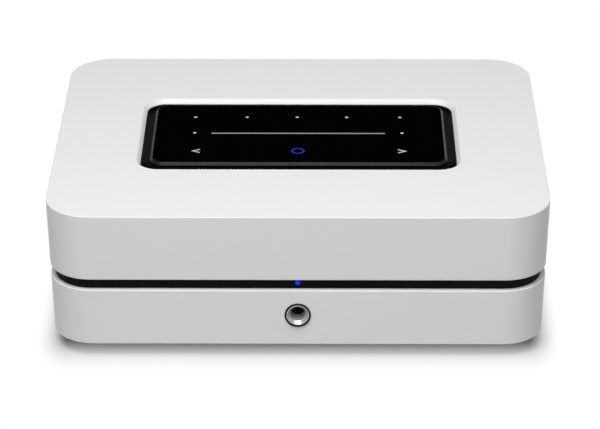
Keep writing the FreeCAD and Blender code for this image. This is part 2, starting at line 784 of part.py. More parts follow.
def make_vent_grille():
    """The slotted plate under the well, raised as a ring round the touch panel. Its slots are one holed face."""
    floor_width = number(well_width - 2 * well_slope)
    floor_length = number(well_length - 2 * well_slope)
    panel_width = number(glass_width - 2 * carrier_inset)
    panel_length = number(glass_length - 2 * carrier_inset)
    margin, pitch, across = number(slot_margin), number(slot_pitch), number(slot_width)
    side_gap = (floor_width - panel_width) / 2
    end_gap = (floor_length - panel_length) / 2
    corner = number(well_radius)
    holes = []
    for sign in (-1, 1):
        side_x = sign * (panel_width + side_gap) / 2
        for y in slot_row(floor_length / 2 - corner, pitch):
            holes.append(rectangle_wire(side_x, y, side_gap - 2 * margin, across))
        end_y = sign * (panel_length + end_gap) / 2
        for x in slot_row(floor_width / 2 - corner, pitch):
            holes.append(rectangle_wire(x, end_y, across, end_gap - 2 * margin))
    holes.append(rectangle_wire(0, number(flex_place), number(flex_width + 2 * flex_clearance),
                                number(flex_thickness + 2 * flex_clearance)))
    outline = rounded_wire(well_width - 2 * well_slope + 2 * well_flange,
                           well_length - 2 * well_slope + 2 * well_flange,
                           well_radius - well_slope + well_flange)
    face = Part.makeFace([outline] + holes, "Part::FaceMakerBullseye")
    rise = Vector(0, 0, number(bar_rise))
    ring_outside = rounded_wire(well_width - 2 * well_slope - 2 * ring_fit,
                                well_length - 2 * well_slope - 2 * ring_fit, well_radius - well_slope - ring_fit)
    ring_inside = rounded_wire(glass_width - 2 * carrier_inset + 2 * ring_fit,
                               glass_length - 2 * carrier_inset + 2 * ring_fit,
                               glass_radius - carrier_inset + ring_fit)
    flange_space = Part.makeFace([outline, ring_outside], "Part::FaceMakerBullseye").extrude(rise)
    panel_space = Part.Face(ring_inside).extrude(rise)
    plate_top = Vector(0, 0, number(grille_thickness))
    grille = doc.addObject("Part::Feature", "grille_sheet")
    grille.Shape = face.extrude(plate_top + rise).cut([flange_space.translated(plate_top),
                                                       panel_space.translated(plate_top)])
    place(grille, 0.0, middle, well_floor - grille_thickness)
    bores = grille_screw_holes("grille_bore", grille_screw_radius + screw_clearance,
                               well_floor - grille_thickness, grille_thickness)
    return node("vent_grille", cut("vent_grille", grille, *bores))


def make_grille_screws():
    """Six small screws up through the grille into the lid."""
    bottom = well_floor - grille_thickness
    screws = []
    for i, (x, y) in enumerate(grille_screw_points()):
        head = rod(f"grille_head_{i}", grille_screw_head, grille_screw_radius, x, y,
                   bottom - grille_screw_radius)
        shaft = rod(f"grille_shank_{i}", grille_screw_radius, grille_thickness + grille_screw_bite - fit_clearance,
                    x, y, bottom)
        screws.append(fuse(f"grille_screw_{i}", head, shaft))
    return node("grille_screws", gather("grille_screws", screws))


def make_touch_panel():
    """Black glass on a carrier frame, with a light guide and a touch board inside the frame."""
    width = glass_width - 2 * carrier_inset
    length = glass_length - 2 * carrier_inset
    frame = doc.addObject("PartDesign::Body", "carrier_frame")
    pad(frame, "carrier_block", width, length, glass_radius - carrier_inset, 0.0, glass_bottom - well_floor)
    pocket(frame, "carrier_opening", width - 2 * carrier_wall, length - 2 * carrier_wall,
           glass_radius - carrier_inset - carrier_wall, 0.0, glass_bottom - well_floor)
    node("touch_carrier", place(frame, 0.0, middle, well_floor))
    inset = carrier_wall + panel_fit
    board_radius = glass_radius - carrier_inset - inset
    node("touch_board", plate("touch_board_plate", width - 2 * inset, length - 2 * inset, board_radius,
                              touch_board_thickness, 0.0, middle, well_floor))
    node("light_guide", plate("light_guide_plate", width - 2 * inset, length - 2 * inset, board_radius,
                              glass_bottom - touch_board_top, 0.0, middle, touch_board_top))
    glass = doc.addObject("PartDesign::Body", "glass_slab")
    slab = pad(glass, "glass_block", glass_width, glass_length, glass_radius, 0.0, glass_thickness)
    soften(glass, slab, "PartDesign::Chamfer", "glass_edge", glass_thickness, glass_width / 2,
           Size=glass_chamfer)
    node("touch_glass", place(glass, 0.0, middle, glass_bottom))
    node("touch_flex", standing_block("touch_flex", 0.0, middle + flex_place, board_top, flex_width,
                                      flex_thickness, well_floor - board_top))


def make_status_light():
    """A light pipe through the liner, with its lamp behind it."""
    level = gap_bottom + gap_height / 2
    face = front + liner_inset
    node("status_light_pipe", rod("status_light_pipe", light_radius, liner_width, 0.0, face, level, "y"))
    node("status_lamp", block("status_lamp", -lamp_side / 2, face + liner_width, gap_bottom, lamp_side,
                              lamp_thickness, gap_height))


# Headphone socket

def make_headphone_socket():
    """A black bezel, a bright ferrule, the socket's body and its two contact springs."""
    sleeve_radius = ferrule_radius + bezel_sleeve
    bezel_front = socket_front - bezel_proud
    bezel_length = front_inside - bezel_front
    rim = rod("bezel_rim", bezel_radius, bezel_proud, 0.0, bezel_front, socket_level, "y")
    sleeve = rod("bezel_sleeve_bar", sleeve_radius, bezel_length, 0.0, bezel_front, socket_level, "y")
    bore = rod("bezel_bore", ferrule_radius, bezel_length, 0.0, bezel_front, socket_level, "y")
    node("headphone_bezel", cut("headphone_bezel", fuse("bezel_whole", rim, sleeve), bore))

    ferrule_front = socket_front - ferrule_proud
    ferrule_length = front_inside - ferrule_front + ferrule_reach
    lead_length = front_inside - ferrule_front + fit_clearance
    bar = rod("ferrule_bar", ferrule_radius, ferrule_length, 0.0, ferrule_front, socket_level, "y")
    hole = rod("ferrule_hole", socket_radius, ferrule_length, 0.0, ferrule_front, socket_level, "y")
    mouth = cone("ferrule_mouth", socket_mouth_radius, socket_radius, socket_mouth_depth,
                 0.0, ferrule_front, socket_level, "y")
    lead = cone("ferrule_lead", socket_lead_radius, socket_radius, lead_length, 0.0, ferrule_front,
                socket_level, "y")
    node("headphone_ferrule", cut("headphone_ferrule", bar, fuse("ferrule_inside", hole, mouth, lead)))

    casing = standing_block("jack_casing", 0.0, front_inside + jack_length / 2, board_top,
                            jack_width, jack_length, jack_height)
    seat = rod("jack_seat", ferrule_radius, ferrule_reach, 0.0, front_inside, socket_level, "y")
    bore = rod("jack_bore", socket_radius, jack_length - jack_floor, 0.0, front_inside, socket_level, "y")
    spring_y = front_inside + ferrule_reach + contact_setback + contact_length / 2
    spring_z = socket_level - socket_radius - contact_thickness
    pockets = [
        standing_block(f"spring_pocket_{i}", side * contact_spacing / 2, spring_y, spring_z,
                       contact_width + screw_clearance, contact_length, contact_thickness + contact_relief)
        for i, side in enumerate((-1, 1))
    ]
    node("headphone_body", cut("headphone_body", casing, seat, bore, *pockets))
    springs = [
        standing_block(f"headphone_spring_{i}", side * contact_spacing / 2, spring_y, spring_z,
                       contact_width, contact_length, contact_thickness)
        for i, side in enumerate((-1, 1))
    ]
    node("headphone_contacts", gather("headphone_contacts", springs))


# Places of the sockets along the rear panel, one beside the next

inlet_place = window_width / 2 - socket_margin - inlet_flange - inlet_width / 2
hdmi_place = inlet_place - inlet_width / 2 - inlet_flange - socket_gap - hdmi_width / 2
usb_place = hdmi_place - hdmi_width / 2 - socket_gap - usb_width / 2
ethernet_place = usb_place - usb_width / 2 - socket_gap - ethernet_width / 2
line_place = ethernet_place - ethernet_width / 2 - socket_gap - line_width / 2
sub_place = line_place - line_width / 2 - socket_gap - sub_body_width / 2
post_place = sub_place - sub_body_width / 2 - socket_gap - collar_radius


# Boards

board_reach = shell_width / 2 - screw_inset - boss_radius - board_margin
main_left = -board_reach
power_left = inlet_place - inlet_width / 2 - board_margin
power_right = board_reach
main_right = power_left - board_gap
board_front_edge = front_inside + board_margin
board_rear_edge = panel_front - board_margin


def board_screw_points():
    """Screw places near the corners of both boards, clear of the sockets."""
    xs = [main_left + board_screw_inset, main_right - board_screw_inset, power_left + board_screw_inset,
          power_right - board_screw_inset]
    ys = [board_front_edge + board_screw_row, board_rear_edge - board_screw_rear_row]
    return [(x, y) for x in xs for y in ys]


def make_boards():
    """The main board and the power board, on standoffs from the base plate, with their screws."""
    radius = board_screw_radius + screw_clearance
    length = board_rear_edge - board_front_edge
    points = board_screw_points()
    half = len(points) // 2
    for label, left, right, own in (
        ("main_board", main_left, main_right, points[:half]),
        ("power_board", power_left, power_right, points[half:]),
    ):
        sheet_body = block(label + "_blank", left, board_front_edge, board_bottom, right - left, length,
                           board_thickness)
        holes = [rod(f"{label}_hole_{i}", radius, board_thickness, x, y, board_bottom)
                 for i, (x, y) in enumerate(own)]
        node(label, cut(label, sheet_body, *holes))
    posts, screws = [], []
    for i, (x, y) in enumerate(points):
        column = rod(f"standoff_column_{i}", standoff_radius, standoff_height, x, y, base_inside)
        thread = rod(f"standoff_thread_{i}", radius, board_screw_bite, x, y, board_bottom - board_screw_bite)
        posts.append(cut(f"standoff_{i}", column, thread))
        shank_length = board_thickness + board_screw_bite - fit_clearance
        shank = rod(f"board_shank_{i}", board_screw_radius, shank_length, x, y, board_top - shank_length)
        head = rod(f"board_head_{i}", board_screw_head, board_screw_radius, x, y, board_top)
        screws.append(fuse(f"board_screw_{i}", shank, head))
    node("board_standoffs", gather("board_standoffs", posts))
    node("board_screws", gather("board_screws", screws))


def make_amplifier_stage():
    """Power chips under a finned heat sink, and the output inductors between it and the speaker posts."""
    sink_left = main_left + sink_inset
    sink_right = -flex_width / 2 - sink_gap
    sink_width = sink_right - sink_left
    x = (sink_left + sink_right) / 2
    y = middle + sink_setback
    chips = [
        standing_block(f"chip_{i}_{j}", x + sx * sink_width / 4, y + sy * chip_row_spread / 2, board_top,
                       chip_side, chip_side, chip_height)
        for i, sx in enumerate((-1, 1)) for j, sy in enumerate((-1, 1))
    ]
    node("amplifier_chips", gather("amplifier_chips", chips))
    foot = standing_block("sink_foot", x, y, board_top + chip_height, sink_width, sink_length, sink_base)
    count = int(number(sink_width - fin_thickness) / number(fin_pitch)) + 1
    start = x - fin_pitch * ((count - 1) / 2)
    fins = [
        standing_block(f"fin_{i}", start + fin_pitch * i, y, board_top + chip_height + sink_base,
                       fin_thickness, sink_length, fin_height)
        for i in range(count)
    ]
    node("heat_sink", fuse("heat_sink", foot, *fins))
    pitch = (sink_width - 2 * inductor_margin) / INDUCTORS
    radius = (pitch - inductor_gap) / 2
    coil_y = y + sink_length / 2 + part_gap + radius
    coils = [
        rod(f"inductor_{i}", radius, inductor_height, x + pitch * (i - (INDUCTORS - 1) / 2), coil_y, board_top)
        for i in range(INDUCTORS)
    ]
    node("output_inductors", gather("output_inductors", coils))


def make_processor():
    """The streaming module with its shield can, behind the headphone socket."""
    x = main_right - module_inset - module_side / 2
    y = front_inside + jack_length + board_margin + module_side / 2
    node("processor_module", standing_block("processor_module", x, y, board_top, module_side, module_side,
                                            module_thickness))
    node("processor_shield", standing_block("processor_shield", x, y, board_top + module_thickness, shield_side,
                                            shield_side, shield_height))


def make_power_supply():
    """Transformer, bulk capacitors, small capacitors and the link between the two boards."""
    x = (power_left + power_right) / 2
    y = middle - core_place
    core_width = power_right - power_left - 2 * (link_overlap + core_margin)
    outer = standing_block("core_block", x, y, board_top, core_width, core_length, core_height)
    window_length = core_length - 2 * core_leg
    inner_height = core_height - 2 * core_leg
    opening = standing_block("core_window", x, y, board_top + core_leg, core_width, window_length, inner_height)
    limb = rod("core_limb", core_leg, inner_height, x, y, board_top + core_leg)
    node("transformer_core", fuse("transformer_core", cut("core_frame", outer, opening), limb))
    node("transformer_winding", tube("transformer_winding", window_length / 2 - fit_clearance, core_leg,
                                     inner_height, x, y, board_top + core_leg))
    bulk_y = y - core_length / 2 - part_gap - bulk_radius
    bulk = [
        rod(f"bulk_{i}", bulk_radius, bulk_height, x + side * (bulk_radius + fit_clearance), bulk_y, board_top)
        for i, side in enumerate((-1, 1))
    ]
    node("bulk_capacitors", gather("bulk_capacitors", bulk))
    small_y = y + core_length / 2 + part_gap + small_radius
    small = [
        rod(f"small_{i}", small_radius, small_height, x + small_pitch * (i - (SMALL_CAPACITORS - 1) / 2),
            small_y, board_top)
        for i in range(SMALL_CAPACITORS)
    ]
    node("small_capacitors", gather("small_capacitors", small))
    node("power_link", standing_block("power_link", main_right + board_gap / 2, y, board_top,
                                      board_gap + 2 * link_overlap, link_width, link_height))


def make_antennas():
    """Two thin antenna boards stuck to the inside of the side walls."""
    level = upper_bottom + board_margin
    left = block("antenna_left", -side_inside, middle - antenna_length / 2, level, antenna_thickness,
                 antenna_length, antenna_height)
    right = block("antenna_right", side_inside - antenna_thickness, middle - antenna_length / 2, level,
                  antenna_thickness, antenna_length, antenna_height)
    node("antenna_boards", gather("antenna_boards", [left, right]))


# Rear panel and its sockets

posts = [
    (post_place - column * post_spacing, level)
    for column in (0, 1)
    for level in (window_bottom + post_margin, window_top - post_margin)
]
inlet_level = board_top + inlet_height / 2
hdmi_level = board_top + hdmi_height / 2
usb_level = board_top + usb_height / 2
ethernet_level = board_top + ethernet_height / 2
line_level = board_top + line_height / 2
sub_level = board_top + sub_body_height / 2
panel_face = rear_inside
socket_face = panel_face + socket_proud


def panel_hole(name, x, level, width, height):
    """A tool that cuts a socket's clear opening through the panel."""
    grown_height = height + 2 * panel_clearance
    return standing_block(name, x, panel_front + panel_thickness / 2, level - grown_height / 2,
                          width + 2 * panel_clearance, panel_thickness, grown_height)


def round_panel_hole(name, x, level, radius):
    """A tool that cuts a round opening through the panel."""
    return rod(name, radius, panel_thickness, x, panel_front, level, "y")


def panel_screw_points():
    """Four screws round the panel: one near each side and two near the top."""
    side = window_width / 2 - panel_screw_inset
    low = window_bottom + panel_screw_level
    high = window_top - panel_screw_inset
    return [(-side, low), (side, low), (-panel_screw_spread, high), (panel_screw_spread, high)]


def make_panel(label, left, right, holes):
    """A black plate that stands on the base plate behind the window in the casing, between two places."""
    top = window_top + panel_flange
    blank = plate(label + "_blank", right - left, top - base_top, window_radius, panel_thickness,
                  (left + right) / 2, panel_front, (top + base_top) / 2, BACKWARD)
    return node(label, cut(label, blank, *holes))


def make_rear_panels():
    """A plate for the mains and data sockets, and beside it one for the analogue sockets and the posts."""
    edge = window_width / 2 + panel_flange
    seam = ethernet_place - ethernet_width / 2 - socket_gap / 2
    screws = [round_panel_hole(f"panel_bore_{i}", x, level, grille_screw_radius + screw_clearance)
              for i, (x, level) in enumerate(panel_screw_points())]
    make_panel("socket_panel", seam + fit_clearance / 2, edge, [
        panel_hole("inlet_hole", inlet_place, inlet_level, inlet_width, inlet_height),
        panel_hole("hdmi_hole", hdmi_place, hdmi_level, hdmi_width, hdmi_height),
        panel_hole("usb_hole", usb_place, usb_level, usb_width, usb_height),
        panel_hole("ethernet_hole", ethernet_place, ethernet_level, ethernet_width, ethernet_height),
    ] + screws[1::2])
    make_panel("speaker_panel", -edge, seam - fit_clearance / 2, [
        round_panel_hole("line_hole", line_place, line_level, line_bush_radius + panel_clearance),
        round_panel_hole("sub_hole", sub_place, sub_level, sub_radius + panel_clearance),
    ] + [round_panel_hole(f"post_hole_{i}", x, level, post_radius + running_clearance)
         for i, (x, level) in enumerate(posts)] + screws[::2])


def make_mains_inlet():
    """A two-pin mains inlet that stands on the power board and shows through the panel."""
    y = socket_face - inlet_length
    casing = standing_block("inlet_casing", inlet_place, y + inlet_length / 2, board_top, inlet_width,
                            inlet_length, inlet_height)
    rim = plate("inlet_rim", inlet_width + 2 * inlet_flange, inlet_height + 2 * inlet_flange, inlet_flange,
                inlet_flange_thickness, inlet_place, panel_face, inlet_level, BACKWARD)
    mouth = panel_face + inlet_flange_thickness
    recess_floor = mouth - inlet_recess_depth
    recess = plate("inlet_recess", inlet_recess_width, inlet_recess_height, inlet_corner, inlet_recess_depth,
                   inlet_place, recess_floor, inlet_level, BACKWARD)
    pins = [
        rod(f"mains_pin_{i}", inlet_pin_radius, inlet_pin_length + inlet_tail,
            inlet_place + side * inlet_pin_spacing / 2, recess_floor - inlet_tail, inlet_level, "y")
        for i, side in enumerate((-1, 1))
    ]
    node("mains_pins", gather("mains_pins", pins))
    node("mains_inlet", cut("mains_inlet", fuse("inlet_whole", casing, rim), recess, *pins))


def metal_shell(label, x, level, width, height, length, tongue_width, tongue_bottom, chamfer=None):
    """A bent metal shell, open towards the rear. Gives back the tongue that stands out from its back wall."""
    y = socket_face - length
    back = y + metal_wall
    outer = standing_block(label + "_outside", x, y + length / 2, level - height / 2, width, length, height)
    hollow = standing_block(label + "_inside", x, back + (socket_face - back) / 2,
                            level - height / 2 + metal_wall, width - 2 * metal_wall, socket_face - back,
                            height - 2 * metal_wall)
    if chamfer is not None:
        outer = bevelled(label + "_outer_bevel", width, height, length, chamfer, x, y, level)
        hollow = bevelled(label + "_inner_bevel", width - 2 * metal_wall, height - 2 * metal_wall,
                          socket_face - back, chamfer, x, back, level)
    node(label + "_socket", cut(label + "_socket", outer, hollow))
    tip = socket_face - tongue_setback
    return standing_block(label + "_tongue", x, (back + tip) / 2, tongue_bottom, tongue_width, tip - back,
                          tongue_thickness)


def bevelled(name, width, height, length, chamfer, x, y, level):
    """A bar along +Y from a point, whose two lower long edges are bevelled."""
    body = doc.addObject("PartDesign::Body", name)
    drawing = sketch_on(body, name + "_outline")
    draw_rectangle(drawing, width, height)
    bar = body.newObject("PartDesign::Pad", name + "_pad")
    bar.Profile = drawing
    bind(bar, Length=length)
    doc.recompute()
    low = number(height) / 2
    edges = [
        f"Edge{i + 1}" for i, edge in enumerate(bar.Shape.Edges)
        if edge.BoundBox.YMin > low - TINY and edge.BoundBox.ZLength > TINY
    ]
    bevel = body.newObject("PartDesign::Chamfer", name + "_chamfer")
    bevel.Base = (bar, edges)
    bind(bevel, Size=chamfer)
    return place(body, x, y, level, BACKWARD)


def make_data_sockets():
    """HDMI-style, USB-style and network sockets on the main board."""
    tongues = [
        metal_shell("hdmi", hdmi_place, hdmi_level, hdmi_width, hdmi_height, hdmi_length, hdmi_tongue_width,
                    hdmi_level - tongue_thickness / 2, hdmi_chamfer),
        metal_shell("usb", usb_place, usb_level, usb_width, usb_height, usb_length, usb_tongue_width, usb_level),
    ]
    node("port_tongues", gather("port_tongues", tongues))
    y = socket_face - ethernet_length
    casing = standing_block("ethernet_casing", ethernet_place, y + ethernet_length / 2, board_top,
                            ethernet_width, ethernet_length, ethernet_height)
    floor = socket_face - plug_depth
    cavity_bottom = ethernet_level - plug_height / 2 + latch_height / 2
    cavity = standing_block("plug_cavity", ethernet_place, floor + plug_depth / 2, cavity_bottom, plug_width,
                            plug_depth, plug_height)
    latch = standing_block("latch_slot", ethernet_place, floor + plug_depth / 2, cavity_bottom - latch_height,
                           latch_width, plug_depth, latch_height)
    node("ethernet_socket", cut("ethernet_socket", casing, cavity, latch))
    wires = [
        standing_block(f"ethernet_wire_{i}", ethernet_place + contact_pitch * (i - (NETWORK_WIRES - 1) / 2),
                       floor + wire_length / 2, cavity_bottom + plug_height - contact_wire, contact_wire,
                       wire_length, contact_wire)
        for i in range(NETWORK_WIRES)
    ]
    node("ethernet_contacts", gather("ethernet_contacts", wires))


def make_analogue_sockets():
    """The small line and optical input, and the subwoofer output."""
    bush_length = panel_thickness + line_bush_proud
    casing = standing_block("line_casing", line_place, panel_front - line_length / 2, board_top, line_width,
                            line_length, line_height)
    bush = rod("line_bush", line_bush_radius, bush_length, line_place, panel_front, line_level, "y")
    depth = line_length - jack_floor + bush_length
    bore = rod("line_bore", line_radius, depth, line_place, panel_face + line_bush_proud - depth, line_level, "y")
    node("line_input_socket", cut("line_input_socket", fuse("line_whole", casing, bush), bore))

    inside_radius = sub_radius - sub_wall
    body = standing_block("sub_casing", sub_place, panel_front - sub_body_length / 2, board_top, sub_body_width,
                          sub_body_length, sub_body_height)
    insert_start = panel_front
    insert_length = panel_thickness + sub_reach - sub_collar_thickness
    insert = rod("sub_insert", inside_radius, insert_length, sub_place, insert_start, sub_level, "y")
    hole = rod("sub_pin_hole", sub_hole_radius, insert_length, sub_place, insert_start, sub_level, "y")
    node("sub_output_insulator", cut("sub_output_insulator", fuse("sub_whole", body, insert), hole))
    barrel_bar = rod("sub_bar", sub_radius, panel_thickness + sub_reach, sub_place, panel_front, sub_level, "y")
    collar = rod("sub_collar", sub_collar_radius, sub_collar_thickness, sub_place, panel_face, sub_level, "y")
    barrel_bore = rod("sub_bore", inside_radius, panel_thickness + sub_reach, sub_place, panel_front,
                      sub_level, "y")
    node("sub_output_barrel", cut("sub_output_barrel", fuse("sub_barrel_bar", barrel_bar, collar), barrel_bore))


# Speaker posts

def make_speaker_posts():
    """Four binding posts: stud, collar, nut and solder tab stay, washer and cap move."""
    washer_start = panel_face + collar_thickness
    cap_start = washer_start + washer_thickness
    stud_end = post_end - cap_end - cap_end_gap
    loose_bore = post_radius + running_clearance
    studs, collars, nuts, tabs = [], [], [], []
    for i, (x, level) in enumerate(posts):
        tail_end = panel_front - post_tail - post_tail_step * (i % 2)
        bar = rod(f"stud_bar_{i}", post_radius, stud_end - tail_end, x, tail_end, level, "y")
        bore = rod(f"stud_bore_{i}", post_bore_radius, post_bore_depth, x, stud_end - post_bore_depth, level, "y")
        wire_hole = rod(f"wire_hole_{i}", wire_hole_radius, 2 * post_radius, x, washer_start + wire_hole_place,
                        level - post_radius)
        studs.append(cut(f"stud_{i}", bar, bore, wire_hole))
        collars.append(tube(f"collar_{i}", collar_radius, loose_bore, collar_thickness, x, panel_face, level, "y"))
        nuts.append(tube(f"nut_{i}", nut_radius, post_radius, nut_thickness, x, panel_front - nut_thickness,
                         level, "y"))
        tabs.append(standing_block(f"tab_{i}", x, tail_end - tab_thickness / 2, board_top, tab_width,
                                   tab_thickness, level + post_radius - board_top))
        node(f"post_washer_{i + 1}", tube(f"washer_{i}", washer_radius, loose_bore, washer_thickness, x,
                                          washer_start, level, "y"))
        grip = rod(f"cap_grip_{i}", cap_radius, cap_length, x, cap_start, level, "y")
        hollow = rod(f"cap_hollow_{i}", loose_bore, cap_length - cap_end, x, cap_start, level, "y")
        mouth = rod(f"cap_mouth_{i}", cap_mouth_radius, cap_length, x, cap_start, level, "y")
        turns = [math.radians(360 * k / CAP_FLUTES) for k in range(CAP_FLUTES)]
        flutes = [
            rod(f"cap_flute_{i}_{k}", cap_groove_radius, cap_length - cap_end, x + cap_radius * math.cos(turn),
                cap_start, level + cap_radius * math.sin(turn), "y")
            for k, turn in enumerate(turns)
        ]
        node(f"post_cap_{i + 1}", cut(f"post_cap_{i + 1}", grip, hollow, mouth, *flutes))
    node("post_studs", gather("post_studs", studs))
    node("positive_collars", gather("positive_collars", collars[:2]))
    node("negative_collars", gather("negative_collars", collars[2:]))
    node("post_nuts", gather("post_nuts", nuts))
    node("speaker_tabs", gather("speaker_tabs", tabs))


def make_panel_screws():
    """Four short screws that hold the panel."""
    screws = []
    for i, (x, level) in enumerate(panel_screw_points()):
        head = rod(f"panel_head_{i}", grille_screw_head, grille_screw_radius, x, panel_face, level, "y")
        shaft = rod(f"panel_shank_{i}", grille_screw_radius, panel_thickness + grille_screw_bite, x,
                    panel_front - grille_screw_bite, level, "y")
        screws.append(fuse(f"panel_screw_{i}", head, shaft))
    return node("rear_panel_screws", gather("rear_panel_screws", screws))


def build():
    window = make_window_cutter()
    bay = make_panel_bay()
    make_upper_shell(window)
    make_lower_shell(window, bay)
    make_gap_liner(window, bay)
    make_base_plate()
    make_feet()
    make_case_screws()
    make_vent_grille()
    make_grille_screws()
    make_touch_panel()
    make_status_light()
    make_headphone_socket()
    make_boards()
    make_amplifier_stage()
    make_processor()
    make_power_supply()
    make_antennas()
    make_rear_panels()
    make_panel_screws()
    make_mains_inlet()
    make_data_sockets()
    make_analogue_sockets()
    make_speaker_posts()
    doc.recompute()


def check():
    """Stops the build if any object failed or any sub-part isn't sound."""
    for obj in doc.Objects:
        if {"Invalid", "Error"} & set(obj.State):
            raise RuntimeError(f"{obj.Label} failed: {obj.State}")
    for label, obj in nodes.items():
        if obj.Shape.isNull() or not obj.Shape.isValid() or not obj.Shape.Solids:
            raise RuntimeError(f"sub-part {label} isn't a sound solid")


def export():
    os.makedirs("parts", exist_ok=True)
    for label, obj in nodes.items():
        obj.Shape.exportStep(f"parts/{label}.step")
        print(f"{label}: {len(obj.Shape.Solids)} solids, {obj.Shape.Volume:.0f} mm3")


build()
check()
export()
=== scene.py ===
import json
import math

import bmesh
import bpy
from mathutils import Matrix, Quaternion, Vector


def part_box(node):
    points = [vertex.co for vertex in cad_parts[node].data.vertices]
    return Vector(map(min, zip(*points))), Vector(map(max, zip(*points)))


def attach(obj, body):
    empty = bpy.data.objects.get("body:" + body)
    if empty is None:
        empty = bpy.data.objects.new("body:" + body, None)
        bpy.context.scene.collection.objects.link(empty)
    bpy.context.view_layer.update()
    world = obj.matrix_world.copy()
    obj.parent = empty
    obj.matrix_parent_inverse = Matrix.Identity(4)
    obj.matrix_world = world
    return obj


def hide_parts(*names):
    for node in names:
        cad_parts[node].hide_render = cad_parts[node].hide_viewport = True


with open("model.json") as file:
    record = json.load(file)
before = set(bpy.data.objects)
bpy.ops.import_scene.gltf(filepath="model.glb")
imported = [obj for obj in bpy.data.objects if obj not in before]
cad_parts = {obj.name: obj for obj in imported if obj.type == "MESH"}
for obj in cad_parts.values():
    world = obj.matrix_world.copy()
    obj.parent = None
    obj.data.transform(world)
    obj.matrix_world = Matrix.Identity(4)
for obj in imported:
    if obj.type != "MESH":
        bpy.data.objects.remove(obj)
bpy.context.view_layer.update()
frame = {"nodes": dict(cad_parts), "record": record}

MM = 0.001
BODY_OF = {node: body for body, members in frame["record"]["behaviour"]["bodies"].items() for node in members}
SLOT_OF = {part["node"]: part["material_slot"] for part in frame["record"]["subparts"]}


def node_box(node):
    """Lowest and highest corner of a CAD node, in millimetres."""
    low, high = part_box(node)
    return Vector(low) / MM, Vector(high) / MM


# Sizes in millimetres, read from the frame where a node gives them

lid_low, lid_high = node_box("upper_shell")
under_low, under_high = node_box("lower_shell")
liner_low, liner_high = node_box("gap_liner")
glass_low, glass_high = node_box("touch_glass")
bezel_low, bezel_high = node_box("headphone_bezel")
ferrule_low, ferrule_high = node_box("headphone_ferrule")
panel_low, panel_high = node_box("socket_panel")
light_low, light_high = node_box("status_light_pipe")
grille_low, grille_high = node_box("vent_grille")
carrier_low, carrier_high = node_box("touch_carrier")

HALF_X = 110.0
HALF_Y = 86.0
MIDDLE = (lid_low.y + lid_high.y) / 2
FRONT = MIDDLE - HALF_Y
REAR = MIDDLE + HALF_Y
SIDE_LEAN = 1.6
CORNER = 20.0
WALL = 4.5
LID_INSIDE = lid_high.z - 3.0
UPPER_EDGE = 0.5
LOWER_EDGE = 0.35
LOW_RIM = 0.3
LIP_REACH = 12.5
LIP_THICKNESS = 2.5
LINER_INSET = HALF_X - liner_high.x
LINER_REACH = LINER_INSET + 6.0
LINER_EDGE = 0.3
WELL_X = 72.8
WELL_Y = 38.4
WELL_CORNER = 10.5
WELL_SLOPE = 1.7
WELL_FLOOR = lid_high.z - 4.0
SLOPE_FOOT = lid_high.z - 2.0
WELL_FLANGE = 6.0
WELL_EDGE = 0.3
WINDOW_X = 82.0
WINDOW_LOW = 13.0
WINDOW_HIGH = 61.5
WINDOW_CORNER = 3.0
BAY_X = 85.2
CASE_SCREWS = [(sx * 97.0, MIDDLE + sy * 73.0) for sx in (-1, 1) for sy in (-1, 1)]
PANEL_SCREWS = [(-79.0, 42.0), (79.0, 42.0), (-26.0, 58.5), (26.0, 58.5)]
BOSS_RADIUS, BOSS_BORE = 4.0, 1.58
SLOT_PITCH, SLOT_MARGIN = 1.6, 0.6
BAR_HALF, RAIL_WIDTH = 0.4, 0.45
CAP_RIBS, CAP_END = 12, 4.0
CAP_BORE, PLUG_HOLE = 3.12, 2.5
GLASS_CORNER, GLASS_BEVEL = 6.5, 1.15
PRINT_DEPTH = 0.03
SOCKET_LEVEL = (bezel_low.z + bezel_high.z) / 2
SOCKET_FACE = bezel_low.y + 0.6
SOCKET_PLAY = 0.08
BEZEL_RADIUS, BEZEL_SLEEVE, FERRULE_RADIUS, FERRULE_BORE = 5.8, 5.4, 5.0, 3.25
LIGHT_RADIUS, LIGHT_LEVEL = 1.2, (light_low.z + light_high.z) / 2
FOOT_RADIUS = 8.0


# Meshes

SHARP_TURN = math.radians(35.0)
dressed = set()


def linked(name, data):
    """A new object in the scene."""
    obj = bpy.data.objects.new(name, data)
    bpy.context.scene.collection.objects.link(obj)
    return obj


def discard(obj):
    """Removes a helper object and its mesh."""
    spare = obj.data
    bpy.data.objects.remove(obj)
    bpy.data.meshes.remove(spare)


def make_piece(name, shape, node=None, slot=None, body=None, material=None):
    """A finished piece at the origin, with its finish, its body, and the CAD node it stands for, if any."""
    mesh = mesh_from(shape, name) if isinstance(shape, bmesh.types.BMesh) else shape
    slot = slot or SLOT_OF[node]
    obj = linked(name, mesh)
    mesh.polygons.foreach_set("use_smooth", [True] * len(mesh.polygons))
    mesh.set_sharp_from_angle(angle=SHARP_TURN)
    mesh.update()
    even = obj.modifiers.new("even_normals", "WEIGHTED_NORMAL")
    even.keep_sharp = True
    settle(obj)
    obj.data.materials.clear()
    obj.data.materials.append(material or finishes[slot])
    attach(obj, body or BODY_OF.get(node, "case"))
    if node:
        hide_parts(node)
        dressed.add(node)
    return obj


def settle(obj):
    """Turns an object's modifiers into plain mesh."""
    graph = bpy.context.evaluated_depsgraph_get()
    mesh = bpy.data.meshes.new_from_object(obj.evaluated_get(graph), preserve_all_data_layers=True,
                                           depsgraph=graph)
    obj.modifiers.clear()
    obj.data = mesh


def mesh_from(bm, name):
    """Closes a bmesh: merged doubles, outward faces, metres."""
    bmesh.ops.remove_doubles(bm, verts=bm.verts, dist=1e-5)
    bmesh.ops.recalc_face_normals(bm, faces=bm.faces)
    bmesh.ops.scale(bm, vec=(MM, MM, MM), verts=bm.verts)
    mesh = bpy.data.meshes.new(name)
    bm.to_mesh(mesh)
    bm.free()
    return mesh


